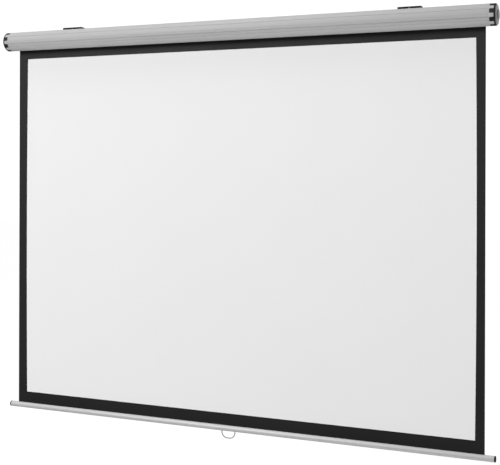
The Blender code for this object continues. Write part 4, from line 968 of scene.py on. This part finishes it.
class SCREEN_OT_brackets(bpy.types.Operator):
    """Fold the two steel brackets and set their clamp screws"""
    bl_idname = "screen.brackets"
    bl_label = "Brackets"

    bend = 2.4 * MM                 # radius of the plate's folds
    slot_place = 22 * MM            # from the middle, and of the wall's slots above the housing's axis
    slot_radius = 2.6 * MM
    slot_reach = 2.4 * MM           # how far each end moves out
    notch = (6 * MM, 6 * MM, 9.4 * MM)      # the block that cuts it out of the lip
    notch_place = (-1 * MM, 3 * MM)         # its middle, from the lip's middle and lower edge
    clamp_back = 12.5 * MM          # clamp screw, behind the housing's axis
    clamp_hole = 2.8 * MM           # radius
    nut_radius = 4.7 * MM
    nut_bore = 2.65 * MM            # radius
    nut_height = 3 * MM             # below the flange
    nut_front = 9.7 * MM            # its flat, behind the housing's axis
    cone = 0.7 * MM                 # the screw's point is a cone and then a tip
    tip = 0.8 * MM
    tip_share = 0.6                 # of the screw's radius, as is the socket's
    socket_share = 0.55

    def execute(self, context):
        for hand in ("left", "right"):
            self.bracket(hand)
            self.screw(hand)
        return {"FINISHED"}

    @staticmethod
    def seat(offset):
        """Where an edge that runs at an offset from the housing's axis meets its groove, with clearance."""
        return math.sqrt((HOUSING_RADIUS - BRACKET_GROOVE * MM) ** 2 - offset ** 2) + CLEAR

    def bracket(self, hand):
        """Lip, top flange, back plate and lower hook, folded from one plate, and the nut under the flange."""
        low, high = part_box(f"bracket_{hand}")
        plate = sizes().bracket_plate
        x = (low.x + high.x) / 2
        lip = AXIS_Y + LIP_BACK
        lip_low = self.seat(LIP_BACK - plate / 2)
        top = high.z - plate / 2
        wall = -plate / 2
        hook_end = AXIS_Y + self.seat(HOOK_DROP - plate / 2)
        obj = straight_edge(f"bracket_plate_{hand}", high.x - low.x, (x, lip, lip_low))
        push((0.0, 0.0, top - lip_low))
        push((0.0, wall - lip, 0.0))
        push((0.0, 0.0, -HOOK_DROP - top))
        push((0.0, hook_end - wall, 0.0))
        corners = [(lip, top), (wall, top), (wall, -HOOK_DROP)]
        pick(obj, "edges", lambda p: any(math.hypot(p.y - y, p.z - z) < 1e-4 for y, z in corners))
        bpy.ops.mesh.bevel(offset=self.bend, segments=6)
        thicken(obj, plate, 0.0)
        for offset in (-self.slot_place, self.slot_place):
            carve(obj, self.slot_cutter((x + offset, 0.0, self.slot_place), (math.pi / 2, 0.0, 0.0)))
            carve(obj, self.slot_cutter((x + offset, lip / 2, high.z), (0.0, 0.0, 0.0)))
        carve(obj, block((x, lip + self.notch_place[0], lip_low + self.notch_place[1]), self.notch))
        carve(obj, pillar((x, AXIS_Y + self.clamp_back, high.z), self.clamp_hole))
        round_edges(obj, 0.3 * MM, 2, 50.0)
        self.add_nut(obj, x, top)
        settle(obj, f"{hand}_bracket", "black_metal", None, [f"bracket_{hand}"], 30.0)

    def slot_cutter(self, location, rotation):
        """A cutter for a slot with round ends that is longer along X."""
        pillar(location, self.slot_radius, depth=10 * MM, rotation=rotation)
        obj = start("slot_cutter")
        for side in (-1, 1):
            pick(obj, "verts", lambda p: (p.x - location[0]) * side > 0.01 * MM)
            bpy.ops.transform.translate(value=(side * self.slot_reach, 0.0, 0.0))
        bpy.ops.object.mode_set(mode="OBJECT")
        return obj

    def add_nut(self, obj, x, top):
        """Set a dull zinc nut into the flange's underside, flat towards the lip's notch."""
        y = AXIS_Y + self.clamp_back
        height = self.nut_height + sizes().bracket_plate / 2
        nut = pillar((x, y, top - height / 2), self.nut_radius, 6, height)
        carve(nut, block((x, AXIS_Y + self.nut_front - 5 * MM, top), (10 * MM, 10 * MM, 12 * MM)))
        carve(nut, pillar((x, y, top), self.nut_bore))
        for piece, material in ((obj, powder_coat()), (nut, dull_wire())):
            piece.data.materials.clear()
            piece.data.materials.append(material)
        choose(nut, obj)
        bpy.ops.object.join()

    def screw(self, hand):
        """Set screw with a hexagon socket and a short point."""
        low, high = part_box(f"clamp_screw_{hand}")
        x = (low.x + high.x) / 2
        y = (low.y + high.y) / 2
        radius = (high.x - low.x) / 2
        shank = low.z + self.cone + self.tip
        pillar((x, y, (shank + high.z) / 2), radius, depth=high.z - shank)
        screw = start(f"set_screw_{hand}")
        pick(screw, "faces", lambda p: p.z > high.z - 1e-5)
        bpy.ops.mesh.inset(thickness=0.35 * MM)
        pick(screw, "faces", lambda p: p.z < shank + 1e-5)
        push((0.0, 0.0, -self.cone))
        bpy.ops.transform.resize(value=(self.tip_share, self.tip_share, 1.0), center_override=(x, y, low.z))
        push((0.0, 0.0, -self.tip))
        carve(screw, pillar((x, y, high.z), radius * self.socket_share, 6, 5 * MM))
        round_edges(screw, 0.2 * MM, 2, 50.0)
        settle(screw, f"{hand}_bracket", "zinc_steel", zinc(), [f"clamp_screw_{hand}"])


class SCREEN_OT_inner_pieces(bpy.types.Operator):
    """Give the pieces inside the housing and the bar their finishes"""
    bl_idname = "screen.inner_pieces"
    bl_label = "Inner Pieces"

    def execute(self, context):
        plan = {
            zinc: ("cap_screw", "tang_seat", "spindle", "ratchet_wheel", "pawl", "idle_pin", "clip_screw"),
            spring_steel: ("torsion_spring", "spindle_clip", "roller_tube"),
            nylon: ("idle_bush", "spring_anchor", "idle_plug", "ratchet_plug", "spindle_carrier",
                    "fabric_retainer", "hem_rod"),
            black_plastic: ("bail_clip",),
        }
        makers = {beginning: make for make, beginnings in plan.items() for beginning in beginnings}
        for name, node in frame["nodes"].items():
            best = max(filter(name.startswith, makers), key=len, default=None)
            if best:
                for place in node.material_slots:
                    place.material = makers[best]()
        return {"FINISHED"}


class SCREEN_OT_stage(bpy.types.Operator):
    """Lay the floor and set the lights and the camera"""
    bl_idname = "screen.stage"
    bl_label = "Stage"

    aim = (0.0, 0.0, -0.6)          # what the softboxes face
    sensor = 36.0                   # in millimetres
    picture_width = 500.0           # in pixels, as are the focal length and the rows
    focal_length = 962.13
    middle_row = 232.5
    horizon_row = 167.93
    camera_place = (1.2324, -2.8109, -0.4355)
    turn = 22.554                   # in degrees, as is the roll
    roll = 0.1652

    def execute(self, context):
        self.floor()
        self.world(context)
        self.softbox("key", (-3.9, -8.0, 3.6), 3.2, 612.0)
        self.softbox("top", (-1.0, -0.9, 3.6), 2.0, 62.0)
        self.sun("reflector", (0.0, -0.2, -1.0), 40.0, 1.5)
        self.sun("rim", (0.5, 1.0, 0.4), 20.0, 1.2)
        context.scene.view_settings.view_transform = "Standard"
        self.camera(context)
        return {"FINISHED"}

    @staticmethod
    def floor():
        """A white floor that only the camera sees."""
        deselect()
        bpy.ops.mesh.primitive_plane_add(size=40.0, location=(0.0, 4.0, -2.3))
        floor = bpy.context.active_object
        floor.name = "studio_floor"
        paint = bpy.data.materials.new("studio_white")
        paint.use_nodes = True
        fill(paint.node_tree.nodes["Principled BSDF"], {
            "Base Color": (0.25, 0.25, 0.25, 1.0), "Roughness": 0.9,
            "Emission Color": (1.0, 1.0, 1.0, 1.0), "Emission Strength": 0.82})
        floor.data.materials.append(paint)
        floor.visible_diffuse = False
        floor.visible_glossy = False
        floor.visible_shadow = False

    @staticmethod
    def world(context):
        """White behind the object, and a softer light from all round."""
        world = bpy.data.worlds.new("studio")
        world.use_nodes = True
        tree = world.node_tree
        place = tree.nodes.new("ShaderNodeTexCoord")
        split = tree.nodes.new("ShaderNodeSeparateXYZ")
        fill(split, {"Vector": place.outputs["Generated"]})
        around = map_range(tree, split.outputs["Z"], -0.1, 0.1, 0.25, 0.42)
        path = tree.nodes.new("ShaderNodeLightPath")
        strength = map_range(tree, path.outputs["Is Camera Ray"], 0.0, 1.0, around, 1.05)
        fill(tree.nodes["Background"], {"Color": (1.0, 1.0, 1.0, 1.0), "Strength": strength})
        context.scene.world = world

    @staticmethod
    def lamp(name, kind, power, source):
        """A lamp whose light comes from a direction."""
        data = bpy.data.lights.new(name, kind)
        data.energy = power
        lamp = bpy.data.objects.new(name, data)
        bpy.context.scene.collection.objects.link(lamp)
        lamp.rotation_euler = Vector(source).to_track_quat("Z", "Y").to_euler()
        return lamp

    def softbox(self, name, location, size, power):
        """A large square light that faces the middle of the screen."""
        lamp = self.lamp(name, "AREA", power, Vector(location) - Vector(self.aim))
        lamp.location = location
        lamp.data.size = size

    def sun(self, name, source, spread, strength):
        """A broad, even light."""
        self.lamp(name, "SUN", strength, source).data.angle = math.radians(spread)

    def camera(self, context):
        """The camera that the photograph's straight edges give."""
        data = bpy.data.cameras.new("camera")
        data.sensor_width = self.sensor
        data.lens = self.focal_length * self.sensor / self.picture_width
        data.shift_y = (self.horizon_row - self.middle_row) / self.picture_width
        camera = bpy.data.objects.new("camera", data)
        context.scene.collection.objects.link(camera)
        camera.matrix_world = (
            Matrix.Translation(self.camera_place) @ Matrix.Rotation(math.radians(self.turn), 4, "Z")
            @ Matrix.Rotation(math.pi / 2, 4, "X") @ Matrix.Rotation(math.radians(self.roll), 4, "Z"))
        context.scene.camera = camera


class SCREEN_PT_panel(bpy.types.Panel):
    """Lists the steps that build the screen"""
    bl_idname = "SCREEN_PT_panel"
    bl_label = "Projection Screen"
    bl_space_type = "VIEW_3D"
    bl_region_type = "UI"
    bl_category = "Screen"

    def draw(self, context):
        layout = self.layout
        for group in (context.scene.screen_sizes, context.scene.screen_colours):
            for name in group.__annotations__:
                layout.prop(group, name)
        for step in STEPS:
            layout.operator(step.bl_idname)


STEPS = (SCREEN_OT_housing, SCREEN_OT_end_caps, SCREEN_OT_fabric, SCREEN_OT_weight_bar, SCREEN_OT_brackets,
         SCREEN_OT_inner_pieces, SCREEN_OT_stage)
CLASSES = (ScreenSizes, ScreenColours, *STEPS, SCREEN_PT_panel)


def register():
    """Add the classes and the scene's settings."""
    for item in CLASSES:
        bpy.utils.register_class(item)
    bpy.types.Scene.screen_sizes = bpy.props.PointerProperty(type=ScreenSizes)
    bpy.types.Scene.screen_colours = bpy.props.PointerProperty(type=ScreenColours)


def unregister():
    """Take them away again."""
    del bpy.types.Scene.screen_sizes
    del bpy.types.Scene.screen_colours
    for item in reversed(CLASSES):
        bpy.utils.unregister_class(item)


def main():
    """Build every piece and the stage."""
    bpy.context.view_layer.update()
    register()
    bpy.ops.screen.housing()
    bpy.ops.screen.end_caps()
    bpy.ops.screen.weight_bar()
    bpy.ops.screen.fabric()
    bpy.ops.screen.brackets()
    bpy.ops.screen.inner_pieces()
    bpy.ops.screen.stage()
    bpy.context.view_layer.update()


if __name__ == "__main__":
    main()
